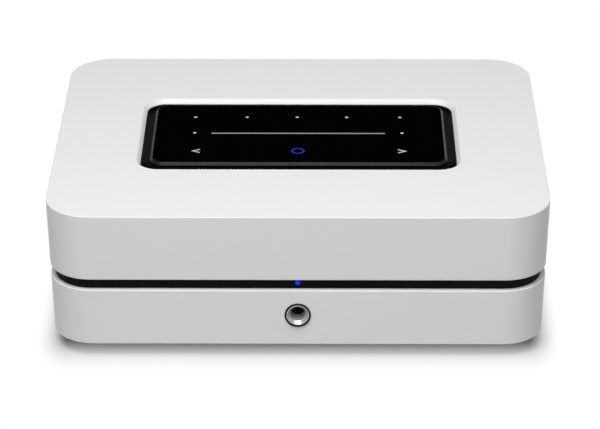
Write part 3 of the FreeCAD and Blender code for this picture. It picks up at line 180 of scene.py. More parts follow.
def wear_layer(bm):
    """The layer that marks rounded edges, where a finish wears first."""
    return bm.verts.layers.float.get("edge") or bm.verts.layers.float.new("edge")


def outline(half_x, half_y, radius, level, middle=None, corner_steps=16):
    """Points round a rounded rectangle, the same number for every size."""
    centre_y = MIDDLE if middle is None else middle
    points = []
    for corner, (sx, sy) in enumerate(((1, 1), (-1, 1), (-1, -1), (1, -1))):
        for step in range(corner_steps + 1):
            turn = math.radians(90 * (corner + step / corner_steps))
            points.append(Vector((sx * (half_x - radius) + radius * math.cos(turn),
                                  centre_y + sy * (half_y - radius) + radius * math.sin(turn), level)))
    return points


def lean(level):
    """How far the casing's sides lean in at a level."""
    return SIDE_LEAN * (lid_high.z - level) / (lid_high.z - under_low.z)


def casing_ring(inset, level, wear=0.0):
    """A ring that follows the casing's leaning sides at an inset."""
    return inner_ring(inset + lean(level), level, wear)


def inner_ring(inset, level, wear=0.0):
    """A ring at an upright inset from the lid's outline."""
    return outline(HALF_X - inset, HALF_Y - inset, CORNER - inset, level), wear


def well_ring(inset, level, wear=0.0):
    """A ring that follows the well's mouth at an inset."""
    return outline(WELL_X - inset, WELL_Y - inset, WELL_CORNER - inset, level), wear


def rounded_edge(ring, inset, level, radius, start, end, steps=5):
    """Rings round a quarter fillet whose centre is at an inset and a level."""
    made = []
    for step in range(steps + 1):
        turn = math.radians(start + (end - start) * step / steps)
        worn = 1.0 - abs(2 * step / steps - 1.0)
        made.append(ring(inset - radius * math.cos(turn), level + radius * math.sin(turn), worn))
    return made


def loft(rings, closed=False, capped=False):
    """A skin through rings of points. A ring's wear is one number, or one for each of its points."""
    bm = bmesh.new()
    layer = wear_layer(bm)
    rows = []
    for points, wear in rings:
        row = [bm.verts.new(point) for point in points]
        for vert, worn in zip(row, wear if isinstance(wear, list) else [wear] * len(row)):
            vert[layer] = worn
        rows.append(row)
    pairs = list(zip(rows, rows[1:]))
    if closed:
        pairs.append((rows[-1], rows[0]))
    for first, second in pairs:
        for i in range(len(first)):
            j = (i + 1) % len(first)
            bm.faces.new((first[i], first[j], second[j], second[i]))
    if capped:
        bm.faces.new(rows[0])
        bm.faces.new(rows[-1])
    return bm


def turned(profile, centre, along="y", steps=48):
    """A lathed closed shape: (radius, place, wear) points round the Y or Z axis through a centre."""
    rings = []
    for radius, place, wear in profile:
        points = []
        for step in range(steps):
            turn = 2 * math.pi * step / steps
            u, v = radius * math.cos(turn), radius * math.sin(turn)
            points.append(Vector(centre) + Vector((u, place, v) if along == "y" else (u, v, place)))
        rings.append((points, wear))
    return loft(rings, closed=True)


def join_meshes(*parts):
    """Several bmeshes as one."""
    whole = bmesh.new()
    wear_layer(whole)
    for part in parts:
        spare = bpy.data.meshes.new("spare")
        part.to_mesh(spare)
        part.free()
        whole.from_mesh(spare)
        bpy.data.meshes.remove(spare)
    return whole


def shape_object(name, bm):
    """A helper object for cutting, in metres."""
    return linked(name, mesh_from(bm, name))


def cut_away(obj, *tools):
    """Takes tools away from an object and removes them."""
    for tool in tools:
        modifier = obj.modifiers.new("cut", "BOOLEAN")
        modifier.operation = "DIFFERENCE"
        modifier.solver = "EXACT"
        modifier.object = tool
    settle(obj)
    for tool in tools:
        discard(tool)


def unpacked(obj):
    """A helper object's mesh as a bmesh in millimetres; the object goes."""
    bm = bmesh.new()
    bm.from_mesh(obj.data)
    bmesh.ops.scale(bm, vec=(1 / MM,) * 3, verts=bm.verts)
    discard(obj)
    return bm


def block_mesh(low, high):
    """A plain block for cutting tools."""
    bm = bmesh.new()
    wear_layer(bm)
    bmesh.ops.create_cube(bm, size=1.0)
    low, high = Vector(low), Vector(high)
    size = high - low
    for vert in bm.verts:
        vert.co = Vector((vert.co.x * size.x, vert.co.y * size.y, vert.co.z * size.z)) + (low + high) / 2
    return bm


def soften(bm, edges, width, segments=2):
    """Rounds edges off and marks them for wear."""
    layer = wear_layer(bm)
    made = bmesh.ops.bevel(bm, geom=edges, offset=width, segments=segments, profile=0.5, affect="EDGES",
                           clamp_overlap=True)
    fresh = set(made["faces"])
    for vert in bm.verts:
        vert[layer] = 1.0 if all(face in fresh for face in vert.link_faces) else 0.0


def soft_block(low, high, edge, segments):
    """A block with rounded edges, worn there."""
    bm = block_mesh(low, high)
    soften(bm, list(bm.edges), edge, segments)
    return bm


def dress(node, edge=0.2, material=None):
    """A CAD node's shape with its sharp edges rounded and marked for wear."""
    bm = bmesh.new()
    bm.from_mesh(frame["nodes"][node].data)
    bmesh.ops.scale(bm, vec=(1 / MM,) * 3, verts=bm.verts)
    bmesh.ops.remove_doubles(bm, verts=bm.verts, dist=1e-4)
    bmesh.ops.dissolve_limit(bm, angle_limit=math.radians(0.4), verts=bm.verts, edges=bm.edges)
    whole = abs(bm.calc_volume())
    low = Vector([min(v.co[i] for v in bm.verts) for i in range(3)])
    high = Vector([max(v.co[i] for v in bm.verts) for i in range(3)])
    plain = bm.copy()
    wear_layer(bm)
    edges = [e for e in bm.edges if len(e.link_faces) == 2 and e.is_convex
             and e.calc_face_angle(0.0) > SHARP_TURN]
    if edges:
        soften(bm, edges, edge)
    sound = 0.9 * whole < abs(bm.calc_volume()) < 1.02 * whole and all(e.is_manifold for e in bm.edges)
    sound = sound and all(low[i] - 0.01 < v.co[i] < high[i] + 0.01 for v in bm.verts for i in range(3))
    if not sound:
        bm, plain = plain, bm
        wear_layer(bm)
        print("kept plain:", node)
    plain.free()
    return make_piece(f"{node}_finished", bm, node, material=material)


# Node trees

class Wire:
    """One output of a node, which takes part in sums as a number does."""

    def __init__(self, tree, socket):
        self.tree = tree
        self.socket = socket

    def work(self, operation, *terms):
        """Adds a Math node on these terms."""
        return self.tree.node("ShaderNodeMath", {"operation": operation}, dict(enumerate(terms)))

    def __add__(self, other):
        return self.work("ADD", self, other)

    def __radd__(self, other):
        return self.work("ADD", other, self)

    def __sub__(self, other):
        return self.work("SUBTRACT", self, other)

    def __rsub__(self, other):
        return self.work("SUBTRACT", other, self)

    def __mul__(self, other):
        return self.work("MULTIPLY", self, other)

    def __rmul__(self, other):
        return self.work("MULTIPLY", other, self)

    def __pow__(self, other):
        return self.work("POWER", self, other)

    def __lt__(self, other):
        return self.work("LESS_THAN", self, other)

    def __abs__(self):
        return self.work("ABSOLUTE", self)

    def most(self, other):
        """The greater of two values."""
        return self.work("MAXIMUM", self, other)


class Tree:
    """A node tree that is written one node at a time."""

    def __init__(self, tree):
        self.tree = tree
        tree.nodes.clear()

    def node(self, kind, settings=None, inputs=None, output=0):
        """Adds a node: its settings first, then its sockets' values or links. Gives one output back."""
        made = self.tree.nodes.new(kind)
        for name, value in (settings or {}).items():
            if name == "stops":
                elements = made.color_ramp.elements
                while len(elements) < len(value):
                    elements.new(0.5)
                for element, (place, colour) in zip(elements, value):
                    element.position = place
                    element.color = colour
            else:
                setattr(made, name, value)
        for name, value in (inputs or {}).items():
            if isinstance(value, Wire):
                self.tree.links.new(value.socket, made.inputs[name])
            else:
                made.inputs[name].default_value = value
        return Wire(self, made.outputs[output]) if made.outputs else None


# Finishes

finishes = {}


class Finish(Tree):
    """A material for one kind of surface, kept under its name."""

    def __init__(self, name):
        self.material = bpy.data.materials.new(name)
        self.material.use_nodes = True
        finishes[name] = self.material
        super().__init__(self.material.node_tree)
        self.place = self.node("ShaderNodeTexCoord", output="Object")
        self.edge = self.node("ShaderNodeAttribute", {"attribute_name": "edge"}, output="Fac")

    def noise(self, scale, detail=3.0, stretch=(1.0, 1.0, 1.0)):
        """Even noise in the object's own space; the scale is in repeats per metre."""
        place = self.place
        if stretch != (1.0, 1.0, 1.0):
            place = self.node("ShaderNodeMapping", {}, {"Vector": self.place, "Scale": stretch})
        return self.node("ShaderNodeTexNoise", {}, {"Vector": place, "Scale": scale, "Detail": detail,
                                                     "Roughness": 0.55})

    def mix(self, factor, first, second):
        """One colour going over into another."""
        return self.node("ShaderNodeMix", {"data_type": "RGBA"}, {0: factor, 6: first, 7: second}, output=2)

    def wear(self, scale=900.0):
        """Where rounded edges are rubbed, broken up by noise."""
        return self.edge * self.node("ShaderNodeMapRange", {}, {
            "Value": self.noise(scale), "From Min": 0.42, "From Max": 0.62})

    def relief(self, height, depth, strength=1.0):
        """Bump of a height in metres."""
        return self.node("ShaderNodeBump", {}, {"Height": height, "Distance": depth, "Strength": strength})

    def shade(self, **sockets):
        """The shader itself, with its sockets' values or links, and the output."""
        shader = self.node("ShaderNodeBsdfPrincipled", {}, {name.replace("_", " "): value
                                                            for name, value in sockets.items()})
        self.node("ShaderNodeOutputMaterial", {}, {"Surface": shader})


def grey(value):
    """An even grey."""
    return (value, value, value)


def tint(colour, factor):
    """A colour made lighter or darker."""
    return tuple(min(1.0, c * factor) for c in colour[:3]) + (1.0,)


def painted(name, colour, roughness, grain, depth, worn, spread, metallic=0.0, coat=0.0, **more):
    """Paint, lacquer or moulded plastic: cloudy colour, fine grain and rubbed edges."""
    finish = Finish(name)
    cloud = finish.noise(35.0, 4.0)
    speck = finish.noise(grain, 2.0)
    rub = finish.wear()
    base = finish.mix(cloud, tint(colour, 1 - spread), tint(colour, 1 + spread))
    base = finish.mix(rub * 0.5, base, worn + (1.0,))
    rough = roughness - 0.04 + cloud * 0.05 + speck * 0.03 - rub * 0.08
    finish.shade(Base_Color=base, Roughness=rough, Metallic=metallic, Coat_Weight=coat,
                 Normal=finish.relief(speck, depth, 0.6), **more)


def bare_metal(name, colour, roughness, stretch, worn):
    """Machined or plated metal with fine drawn marks."""
    finish = Finish(name)
    cloud = finish.noise(60.0, 4.0)
    marks = finish.noise(700.0, 3.0, stretch)
    rub = finish.wear(1200.0)
    base = finish.mix(cloud, tint(colour, 0.92), tint(colour, 1.05))
    base = finish.mix(rub * 0.6, base, worn + (1.0,))
    rough = roughness - 0.05 + marks * 0.1 + cloud * 0.05 - rub * 0.06
    finish.shade(Base_Color=base, Roughness=rough, Metallic=1.0, Normal=finish.relief(marks, 4e-6, 0.7))


def glowing(name, colour, strength):
    """A lit print or lens, a little uneven."""
    finish = Finish(name)
    cloud = finish.noise(900.0, 2.0)
    base = finish.mix(cloud, tint(colour, 0.9), tint(colour, 1.05))
    finish.shade(Base_Color=base, Emission_Color=base, Emission_Strength=strength, Specular_IOR_Level=0.03,
                 Roughness=0.3 + cloud * 0.05, Normal=finish.relief(cloud, 2e-6, 0.3))


def circuit_board(name):
    """Green solder mask over fine tracks, with paler pads."""
    finish = Finish(name)
    tracks = finish.node("ShaderNodeTexBrick", {"offset": 0.37, "squash": 1.0}, {
        "Vector": finish.place, "Scale": 260.0, "Mortar Size": 0.06, "Mortar Smooth": 0.2,
        "Brick Width": 1.7, "Row Height": 0.45}, output="Fac")
    pads = finish.node("ShaderNodeTexVoronoi", {}, {"Vector": finish.place, "Scale": 300.0,
                                                     "Randomness": 1.0}) < 0.18
    cloud = finish.noise(80.0)
    base = finish.mix(cloud, (0.008, 0.06, 0.02, 1.0), (0.012, 0.09, 0.03, 1.0))
    base = finish.mix(tracks * 0.7, base, (0.03, 0.16, 0.06, 1.0))
    base = finish.mix(pads * 0.8, base, (0.55, 0.5, 0.38, 1.0))
    base = finish.mix(finish.wear() * 0.5, base, (0.3, 0.28, 0.16, 1.0))
    finish.shade(Base_Color=base, Roughness=0.38 + cloud * 0.1 - pads * 0.1,
                 Normal=finish.relief(tracks + pads, 3e-5, 0.5))


def wound_wire(name):
    """Enamelled wire laid turn by turn."""
    finish = Finish(name)
    turns = finish.node("ShaderNodeTexWave", {"wave_type": "BANDS", "bands_direction": "Z"}, {
        "Vector": finish.place, "Scale": 500.0, "Distortion": 0.4, "Detail": 1.0}, output="Fac")
    cloud = finish.noise(200.0)
    base = finish.mix(turns, (0.16, 0.05, 0.015, 1.0), (0.62, 0.25, 0.08, 1.0))
    base = finish.mix(finish.wear() * 0.4, base, (0.8, 0.45, 0.2, 1.0))
    finish.shade(Base_Color=base, Roughness=0.28 + cloud * 0.12, Metallic=0.7,
                 Normal=finish.relief(turns, 1.2e-4, 0.8))


def laminated_steel(name):
    """A stack of thin core sheets seen at their edges."""
    finish = Finish(name)
    sheets = finish.node("ShaderNodeTexWave", {"wave_type": "BANDS", "bands_direction": "X"}, {
        "Vector": finish.place, "Scale": 320.0, "Distortion": 0.2}, output="Fac")
    cloud = finish.noise(90.0)
    base = finish.mix(sheets, (0.09, 0.09, 0.095, 1.0), (0.24, 0.24, 0.25, 1.0))
    base = finish.mix(finish.wear() * 0.5, base, (0.5, 0.5, 0.5, 1.0))
    finish.shade(Base_Color=base, Roughness=0.42 + cloud * 0.15, Metallic=0.8,
                 Normal=finish.relief(sheets, 4e-5, 0.6))


# Painted: colour, roughness, grains per metre, their depth in metres, worn colour, spread of the colour
# Bare metal: colour, roughness, stretch of the drawn marks, worn colour

painted("casing_white", grey(0.80), 0.45, 1500.0, 3e-6, grey(0.84), 0.006, coat=0.08, Coat_Roughness=0.35)
painted("liner_black", (0.003, 0.003, 0.0032), 0.6, 1800.0, 8e-6, grey(0.014), 0.15, Specular_IOR_Level=0.05)
painted("base_black", (0.014, 0.014, 0.015), 0.6, 1600.0, 1.2e-5, grey(0.05), 0.15)
painted("foot_rubber", (0.022, 0.022, 0.023), 0.85, 1400.0, 2e-5, grey(0.05), 0.2)
bare_metal("screw_steel", (0.35, 0.35, 0.36), 0.35, (1.0, 1.0, 0.2), grey(0.6))
painted("grille_black", grey(0.003), 0.55, 1500.0, 6e-6, grey(0.02), 0.15, Specular_IOR_Level=0.04)
painted("carrier_black", grey(0.005), 0.5, 1500.0, 6e-6, grey(0.03), 0.15, Specular_IOR_Level=0.2)
circuit_board("board_green")
painted("flex_amber", (0.45, 0.20, 0.04), 0.35, 900.0, 4e-6, (0.6, 0.35, 0.1), 0.1)
painted("part_black", (0.018, 0.018, 0.019), 0.55, 1700.0, 9e-6, grey(0.08), 0.15)
bare_metal("standoff_brass", (0.72, 0.52, 0.22), 0.3, (1, 1, 4), (0.9, 0.75, 0.4))
bare_metal("sink_aluminium", (0.62, 0.63, 0.64), 0.4, (1, 0.1, 1), grey(0.85))
painted("coil_dark", (0.05, 0.05, 0.055), 0.6, 1200.0, 1.5e-5, grey(0.15), 0.15)
bare_metal("shield_tin", (0.66, 0.66, 0.64), 0.32, (0.2, 1, 1), (0.85, 0.85, 0.83))
laminated_steel("core_steel")
wound_wire("winding_copper")
painted("capacitor_black", (0.016, 0.017, 0.02), 0.32, 900.0, 4e-6, grey(0.3), 0.1, coat=0.3,
        Coat_Roughness=0.15)
bare_metal("ferrule_chrome", grey(0.36), 0.24, (1, 8, 1), grey(0.6))
painted("socket_black", grey(0.006), 0.5, 1500.0, 7e-6, grey(0.03), 0.15, Specular_IOR_Level=0.12)
painted("socket_lining", grey(0.50), 0.55, 900.0, 4e-6, grey(0.6), 0.2, metallic=0.3)
bare_metal("contact_silver", (0.78, 0.77, 0.74), 0.25, (1, 0.2, 1), (0.9, 0.9, 0.88))
bare_metal("contact_gold", (0.86, 0.62, 0.25), 0.22, (1, 0.2, 1), (0.95, 0.78, 0.42))
painted("panel_black", (0.013, 0.013, 0.014), 0.5, 1300.0, 1e-5, grey(0.07), 0.15)
bare_metal("shell_nickel", (0.70, 0.69, 0.66), 0.26, (1, 0.2, 1), (0.88, 0.87, 0.85))
painted("post_red", (0.42, 0.010, 0.010), 0.35, 1200.0, 6e-6, (0.6, 0.08, 0.06), 0.06, coat=0.3,
        Coat_Roughness=0.2)
painted("post_black", (0.013, 0.013, 0.014), 0.35, 1200.0, 6e-6, grey(0.07), 0.15, coat=0.3,
        Coat_Roughness=0.2)
painted("light_guide_clear", (0.75, 0.77, 0.78), 0.2, 900.0, 3e-6, grey(0.85), 0.02)
painted("panel_glass", (0.0005, 0.0005, 0.0006), 0.10, 700.0, 4e-7, grey(0.02), 0.1, coat=0.004,
        Specular_IOR_Level=0.0, Coat_Roughness=0.05)
painted("glass_rim", grey(0.0015), 0.35, 500.0, 1e-8, grey(0.02), 0.1, Specular_IOR_Level=0.09)
painted("print_white", grey(0.6), 0.5, 1500.0, 2e-6, grey(0.7), 0.04)
glowing("glyph_white", grey(0.40), 0.5)
glowing("line_grey", grey(0.22), 0.5)
glowing("ring_blue", (0.004, 0.004, 0.22), 0.6)
glowing("status_blue", (0.0, 0.035, 1.0), 0.9)


# Casing

def make_window_tool():
    """Cuts the rear window through both halves and the liner."""
    mouth = outline(WINDOW_X, (WINDOW_HIGH - WINDOW_LOW) / 2, WINDOW_CORNER, 0.0, 0.0, 6)
    level = (WINDOW_HIGH + WINDOW_LOW) / 2
    rings = [([Vector((p.x, y, p.y + level)) for p in mouth], 0.0) for y in (REAR - WALL - 0.5, REAR + 1.0)]
    return shape_object("window_tool", loft(rings, capped=True))


def make_bay_tool():
    """Cuts the bay behind the window, where the panels' flange lies."""
    return shape_object("bay_tool", block_mesh((-BAY_X, REAR - WALL - 8.0, panel_low.z),
                                               (BAY_X, REAR - WALL, LID_INSIDE)))


def screw_bosses(low, high):
    """Four tubes for the case screws inside a casing half."""
    return [
        turned([(BOSS_BORE, low, 0), (BOSS_RADIUS, low, 0), (BOSS_RADIUS, high, 0), (BOSS_BORE, high, 0)],
               (x, y, 0.0), "z", 32)
        for x, y in CASE_SCREWS
    ]


def make_lid_half():
    """The white upper half: rounded edges, and the well with its sloping sides."""
    bottom, top = lid_low.z, lid_high.z
    slope = WELL_SLOPE / (top - SLOPE_FOOT)
    rings = [inner_ring(WALL, bottom)]
    rings += rounded_edge(casing_ring, UPPER_EDGE, bottom + UPPER_EDGE, UPPER_EDGE, -90, 0)
    rings += rounded_edge(casing_ring, UPPER_EDGE, top - UPPER_EDGE, UPPER_EDGE, 0, 90)
    rings += [
        well_ring(-WELL_EDGE, top), well_ring(-WELL_EDGE * 0.35, top - WELL_EDGE * 0.12, 1.0),
        well_ring(WELL_EDGE * slope, top - WELL_EDGE),
        well_ring(WELL_SLOPE, SLOPE_FOOT),
        well_ring(WELL_SLOPE, WELL_FLOOR),
        well_ring(WELL_SLOPE - WELL_FLANGE, WELL_FLOOR),
        well_ring(WELL_SLOPE - WELL_FLANGE, LID_INSIDE),
        inner_ring(WALL, LID_INSIDE),
    ]
    shell = shape_object("lid_half_blank", loft(rings, closed=True))
    cut_away(shell, make_window_tool(), make_bay_tool())
    whole = join_meshes(unpacked(shell), *screw_bosses(bottom, LID_INSIDE))
    make_piece("lid_half", whole, "upper_shell")


def make_lower_half():
    """The white lower half, with the lip under the gap and the headphone socket's hole."""
    bottom, top = under_low.z, under_high.z
    rings = [inner_ring(WALL, bottom)]
    rings += rounded_edge(casing_ring, LOW_RIM, bottom + LOW_RIM, LOW_RIM, -90, 0)
    rings += rounded_edge(casing_ring, LOWER_EDGE, top - LOWER_EDGE, LOWER_EDGE, 0, 90)
    rings += [
        inner_ring(LIP_REACH, top), inner_ring(LIP_REACH, top - LIP_THICKNESS),
        inner_ring(WALL, top - LIP_THICKNESS),
    ]
    shell = shape_object("lower_half_blank", loft(rings, closed=True))
    hole = shape_object("socket_tool", turned(
        [(0.0, FRONT - 1.0, 0), (BEZEL_RADIUS + SOCKET_PLAY, FRONT - 1.0, 0),
         (BEZEL_RADIUS + SOCKET_PLAY, SOCKET_FACE, 0), (BEZEL_SLEEVE + SOCKET_PLAY, SOCKET_FACE, 0),
         (BEZEL_SLEEVE + SOCKET_PLAY, FRONT + WALL + 1.0, 0), (0.0, FRONT + WALL + 1.0, 0)],
        (0.0, 0.0, SOCKET_LEVEL), "y", 64))
    cut_away(shell, make_window_tool(), make_bay_tool(), hole)
    whole = join_meshes(unpacked(shell), *screw_bosses(panel_low.z, top))
    make_piece("lower_half", whole, "lower_shell")


def make_liner():
    """The dark ring in the gap."""
    bottom, top = liner_low.z, liner_high.z
    rings = [
        inner_ring(LINER_REACH, bottom), inner_ring(LINER_INSET + LINER_EDGE, bottom),
        inner_ring(LINER_INSET, bottom + LINER_EDGE, 1.0), inner_ring(LINER_INSET, top - LINER_EDGE, 1.0),
        inner_ring(LINER_INSET + LINER_EDGE, top), inner_ring(LINER_REACH, top),
    ]
    liner = shape_object("liner_blank", loft(rings, closed=True))
    hole = shape_object("light_tool", turned(
        [(0.0, -1.0, 0), (LIGHT_RADIUS, -1.0, 0), (LIGHT_RADIUS, 7.0, 0), (0.0, 7.0, 0)],
        (0.0, light_low.y, LIGHT_LEVEL), "y", 32))
    cut_away(liner, make_window_tool(), make_bay_tool(), hole)
    whole = join_meshes(unpacked(liner), *screw_bosses(bottom, top))
    make_piece("gap_ring", whole, "gap_liner")


def make_status_lens():
    """The small blue light in the gap."""
    start, end = light_low.y, light_high.y
    lens = turned([(0.0, start + 0.05, 0.5), (0.8, start + 0.08, 0.5), (1.1, start + 0.3, 1.0),
                   (LIGHT_RADIUS, start + 0.6, 0), (LIGHT_RADIUS, end, 0), (0.0, end, 0)],
                  (0.0, 0.0, LIGHT_LEVEL), "y", 32)
    make_piece("status_lens", lens, "status_light_pipe")


# Repeated pieces

class Growth(Tree):
    """A Geometry Nodes tree with named inputs, which repeats one small shape."""

    def __init__(self, name, **sizes):
        self.group = bpy.data.node_groups.new(name, "GeometryNodeTree")
        super().__init__(self.group)
        face = self.group.interface
        face.new_socket("Geometry", in_out="INPUT", socket_type="NodeSocketGeometry")
        kinds = dict(sizes, Shape="NodeSocketObject", Finish="NodeSocketMaterial")
        self.keys = {size: face.new_socket(size, in_out="INPUT", socket_type=kind).identifier
                     for size, kind in kinds.items()}
        face.new_socket("Geometry", in_out="OUTPUT", socket_type="NodeSocketGeometry")

    def given(self, size):
        """One of the tree's named inputs."""
        return self.node("NodeGroupInput", output=size)

    def copies(self, points, turn):
        """Copies of the shape on points, made real, with the finish set: the end of each tree."""
        shape = self.node("GeometryNodeObjectInfo", {}, {"Object": self.given("Shape")}, "Geometry")
        placed = self.node("GeometryNodeInstanceOnPoints", {}, {
            "Points": points, "Instance": shape, "Rotation": turn})
        real = self.node("GeometryNodeRealizeInstances", {}, {"Geometry": placed})
        finished = self.node("GeometryNodeSetMaterial", {}, {
            "Geometry": real, "Material": self.given("Finish")})
        self.node("NodeGroupOutput", {}, {"Geometry": finished})
        return self

    def run(self, name, places, shape, slot, **sizes):
        """Runs the tree on points in millimetres; gives the plain mesh."""
        mesh = bpy.data.meshes.new(name)
        mesh.from_pydata([Vector(place) * MM for place in places], [], [])
        base = linked(name, mesh)
        piece = shape_object(f"{name}_shape", shape)
        modifier = base.modifiers.new(name, "NODES")
        modifier.node_group = self.group
        for size, value in dict(sizes, Shape=piece, Finish=finishes[slot]).items():
            modifier[self.keys[size]] = value
        settle(base)
        grown = base.data
        bpy.data.objects.remove(base)
        discard(piece)
        return grown


def scattered():
    """Copies at given points, each turned by its own amount, as a screw is left after tightening."""
    tree = Growth("placed_copies", Turn="NodeSocketVector", Seed="NodeSocketInt")
    amount = tree.node("FunctionNodeRandomValue", {"data_type": "FLOAT"}, {
        "Seed": tree.given("Seed"), 2: 0.0, 3: 2 * math.pi}, output=1)
    turn = tree.node("ShaderNodeVectorMath", {"operation": "SCALE"}, {0: tree.given("Turn"), "Scale": amount})
    return tree.copies(tree.given("Geometry"), turn)


def around_axis():
    """Copies turned evenly about the Y axis through each given point."""
    tree = Growth("copies_round_axis", Count="NodeSocketInt", Step="NodeSocketFloat")
    number = tree.node("GeometryNodeInputIndex")
    many = tree.node("GeometryNodeDuplicateElements", {"domain": "POINT"}, {
        "Geometry": tree.given("Geometry"), "Amount": tree.given("Count")})
    turn = tree.node("ShaderNodeCombineXYZ", {}, {"Y": number * tree.given("Step")})
    return tree.copies(many, turn)


def along_loop():
    """Copies spaced evenly along a rounded rectangle, each square to the way it runs."""
    tree = Growth("copies_along_loop", Width="NodeSocketFloat", Length="NodeSocketFloat",
                  Corner="NodeSocketFloat", Count="NodeSocketInt", Middle="NodeSocketVector")
    loop = tree.node("GeometryNodeCurvePrimitiveQuadrilateral", {}, {
        "Width": tree.given("Width"), "Height": tree.given("Length")})
    soft = tree.node("GeometryNodeFilletCurve", {}, {"Curve": loop, "Radius": tree.given("Corner")})
    points = tree.node("GeometryNodeResampleCurve", {}, {"Curve": soft, "Count": tree.given("Count")})
    placed = tree.node("GeometryNodeTransform", {}, {"Geometry": points, "Translation": tree.given("Middle")})
    way = tree.node("GeometryNodeInputTangent")
    across = tree.node("ShaderNodeSeparateXYZ", {}, {"Vector": way}, "X")
    up = tree.node("ShaderNodeSeparateXYZ", {}, {"Vector": way}, "Y")
    turn = tree.node("ShaderNodeCombineXYZ", {}, {"Z": up.work("ARCTAN2", up, across)})
    return tree.copies(placed, turn)


COPIES, RING, LOOP = scattered(), around_axis(), along_loop()


def make_grille():
    """The plate under the well's floor: a channel round the touch panel with fine bars across it."""
    bottom, bar_top = grille_low.z, SLOPE_FOOT - 0.2
    foot_x, foot_y, foot_corner = WELL_X - WELL_SLOPE, WELL_Y - WELL_SLOPE, WELL_CORNER - WELL_SLOPE
    inner_x, inner_y = carrier_high.x + SLOT_MARGIN, (carrier_high.y - carrier_low.y) / 2 + SLOT_MARGIN
    outer_x, outer_y = foot_x - SLOT_MARGIN, foot_y - SLOT_MARGIN

    def band(first, second, low, high):
        """A flat ring between two rounded rectangles and two levels."""
        places = (first, low), (first, high), (second, high), (second, low)
        return loft([(outline(*size, level), 0.0) for size, level in places], closed=True)

    def rail(half_x, half_y, radius):
        """A narrow upright band inside a rounded rectangle."""
        inside = (half_x - RAIL_WIDTH, half_y - RAIL_WIDTH, radius - RAIL_WIDTH)
        return band((half_x, half_y, radius), inside, WELL_FLOOR, bar_top)

    frame_round = band((outer_x, outer_y, foot_corner), (grille_high.x, foot_y + WELL_FLANGE, WELL_CORNER),
                       bottom, WELL_FLOOR)
    plate = loft([(outline(inner_x, inner_y, foot_corner, level), 0.0) for level in (bottom, WELL_FLOOR)],
                 capped=True)
    make_piece("grille_sheet", join_meshes(frame_round, plate), "vent_grille")
    rails = join_meshes(rail(outer_x + RAIL_WIDTH, outer_y + RAIL_WIDTH, foot_corner),
                        rail(inner_x, inner_y, GLASS_CORNER))
    make_piece("grille_rails", rails, slot="grille_black")
    half_x, half_y = (inner_x + outer_x) / 2, (inner_y + outer_y) / 2
    reach = 4 * (half_x + half_y) - (8 - 2 * math.pi) * foot_corner
    span = (outer_y - inner_y) / 2 + 0.3
    bar = soft_block((-BAR_HALF, -span, bottom + 0.1), (BAR_HALF, span, bar_top), 0.12, 1)
    bars = LOOP.run("grille_bars", [(0, 0, 0)], bar, "grille_black", Width=2 * half_x * MM,
                    Length=2 * half_y * MM, Corner=foot_corner * MM, Count=round(reach / SLOT_PITCH),
                    Middle=Vector((0, MIDDLE, 0)) * MM)
    make_piece("grille_bars", bars, slot="grille_black")


def screw(head_radius, head_height, shank_radius, length, along):
    """A pan-head screw from its head's face inwards, with a cross recess and a pointed end."""
    profile = [
        (0.0, 0.0, 0.3), (head_radius * 0.62, 0.0, 0.3), (head_radius * 0.92, head_height * 0.18, 1.0),
        (head_radius, head_height * 0.45, 0.6), (head_radius, head_height, 0.0),
        (shank_radius, head_height, 0.0), (shank_radius, length - 0.4, 0.0),
        (shank_radius * 0.6, length, 0.0), (0.0, length, 0.0),
    ]
    blank = shape_object("screw_blank", turned(profile, (0, 0, 0), along, 24))
    long, wide, deep = head_radius * 0.62, head_radius * 0.13, head_height * 0.6
    spans = {"z": [((-long, -wide, -deep), (long, wide, deep)), ((-wide, -long, -deep), (wide, long, deep))],
             "y": [((-long, -deep, -wide), (long, deep, wide)), ((-wide, -deep, -long), (wide, deep, long))]}
    cut_away(blank, *[shape_object("recess", block_mesh(low, high)) for low, high in spans[along]])
    return unpacked(blank)


def make_screws():
    """The case screws under the base and the screws of the rear panel."""
    low, high = node_box("case_screws")
    shape = screw(2.8, 2.0, 1.5, high.z - low.z, "z")
    mesh = COPIES.run("case_screw_set", [(x, y, low.z) for x, y in CASE_SCREWS], shape, "screw_steel",
                      Turn=Vector((0, 0, 1)), Seed=4)
    make_piece("case_screw_set", mesh, "case_screws")
    low, high = node_box("rear_panel_screws")
    shape = screw(1.9, 1.0, 1.0, high.y - low.y, "y")
    bmesh.ops.scale(shape, vec=(1, -1, 1), verts=shape.verts)
    mesh = COPIES.run("panel_screw_set", [(x, high.y, z) for x, z in PANEL_SCREWS], shape, "screw_steel",
                      Turn=Vector((0, 1, 0)), Seed=9)
    make_piece("panel_screw_set", mesh, "rear_panel_screws")


def make_feet():
    """Four rubber feet with a dished underside and two grooves round the side."""
    low, high = node_box("rubber_feet")
    tall, wide = high.z, FOOT_RADIUS
    profile = [(0.0, 0.45, 0), (2.6, 0.45, 0), (3.1, 0.0, 0.6), (6.3, 0.0, 0.6), (6.9, 0.2, 1.0),
               (7.08, 0.5, 0.3)]
    for level in (1.5, 2.8):
        side = wide - 1.0 + level / tall
        profile += [(side, level, 0.3), (side - 0.3, level + 0.2, 0), (side - 0.3, level + 0.4, 0),
                    (side + 0.1, level + 0.6, 0.3)]
    profile += [(wide, tall, 0), (0.0, tall, 0)]
    places = [(sx * (high.x - wide), y, 0.0) for sx in (-1, 1) for y in (low.y + wide, high.y - wide)]
    mesh = COPIES.run("foot_set", places, turned(profile, (0, 0, 0), "z", 40), "foot_rubber",
                      Turn=Vector((0, 0, 0)), Seed=0)
    make_piece("foot_set", mesh, "rubber_feet")


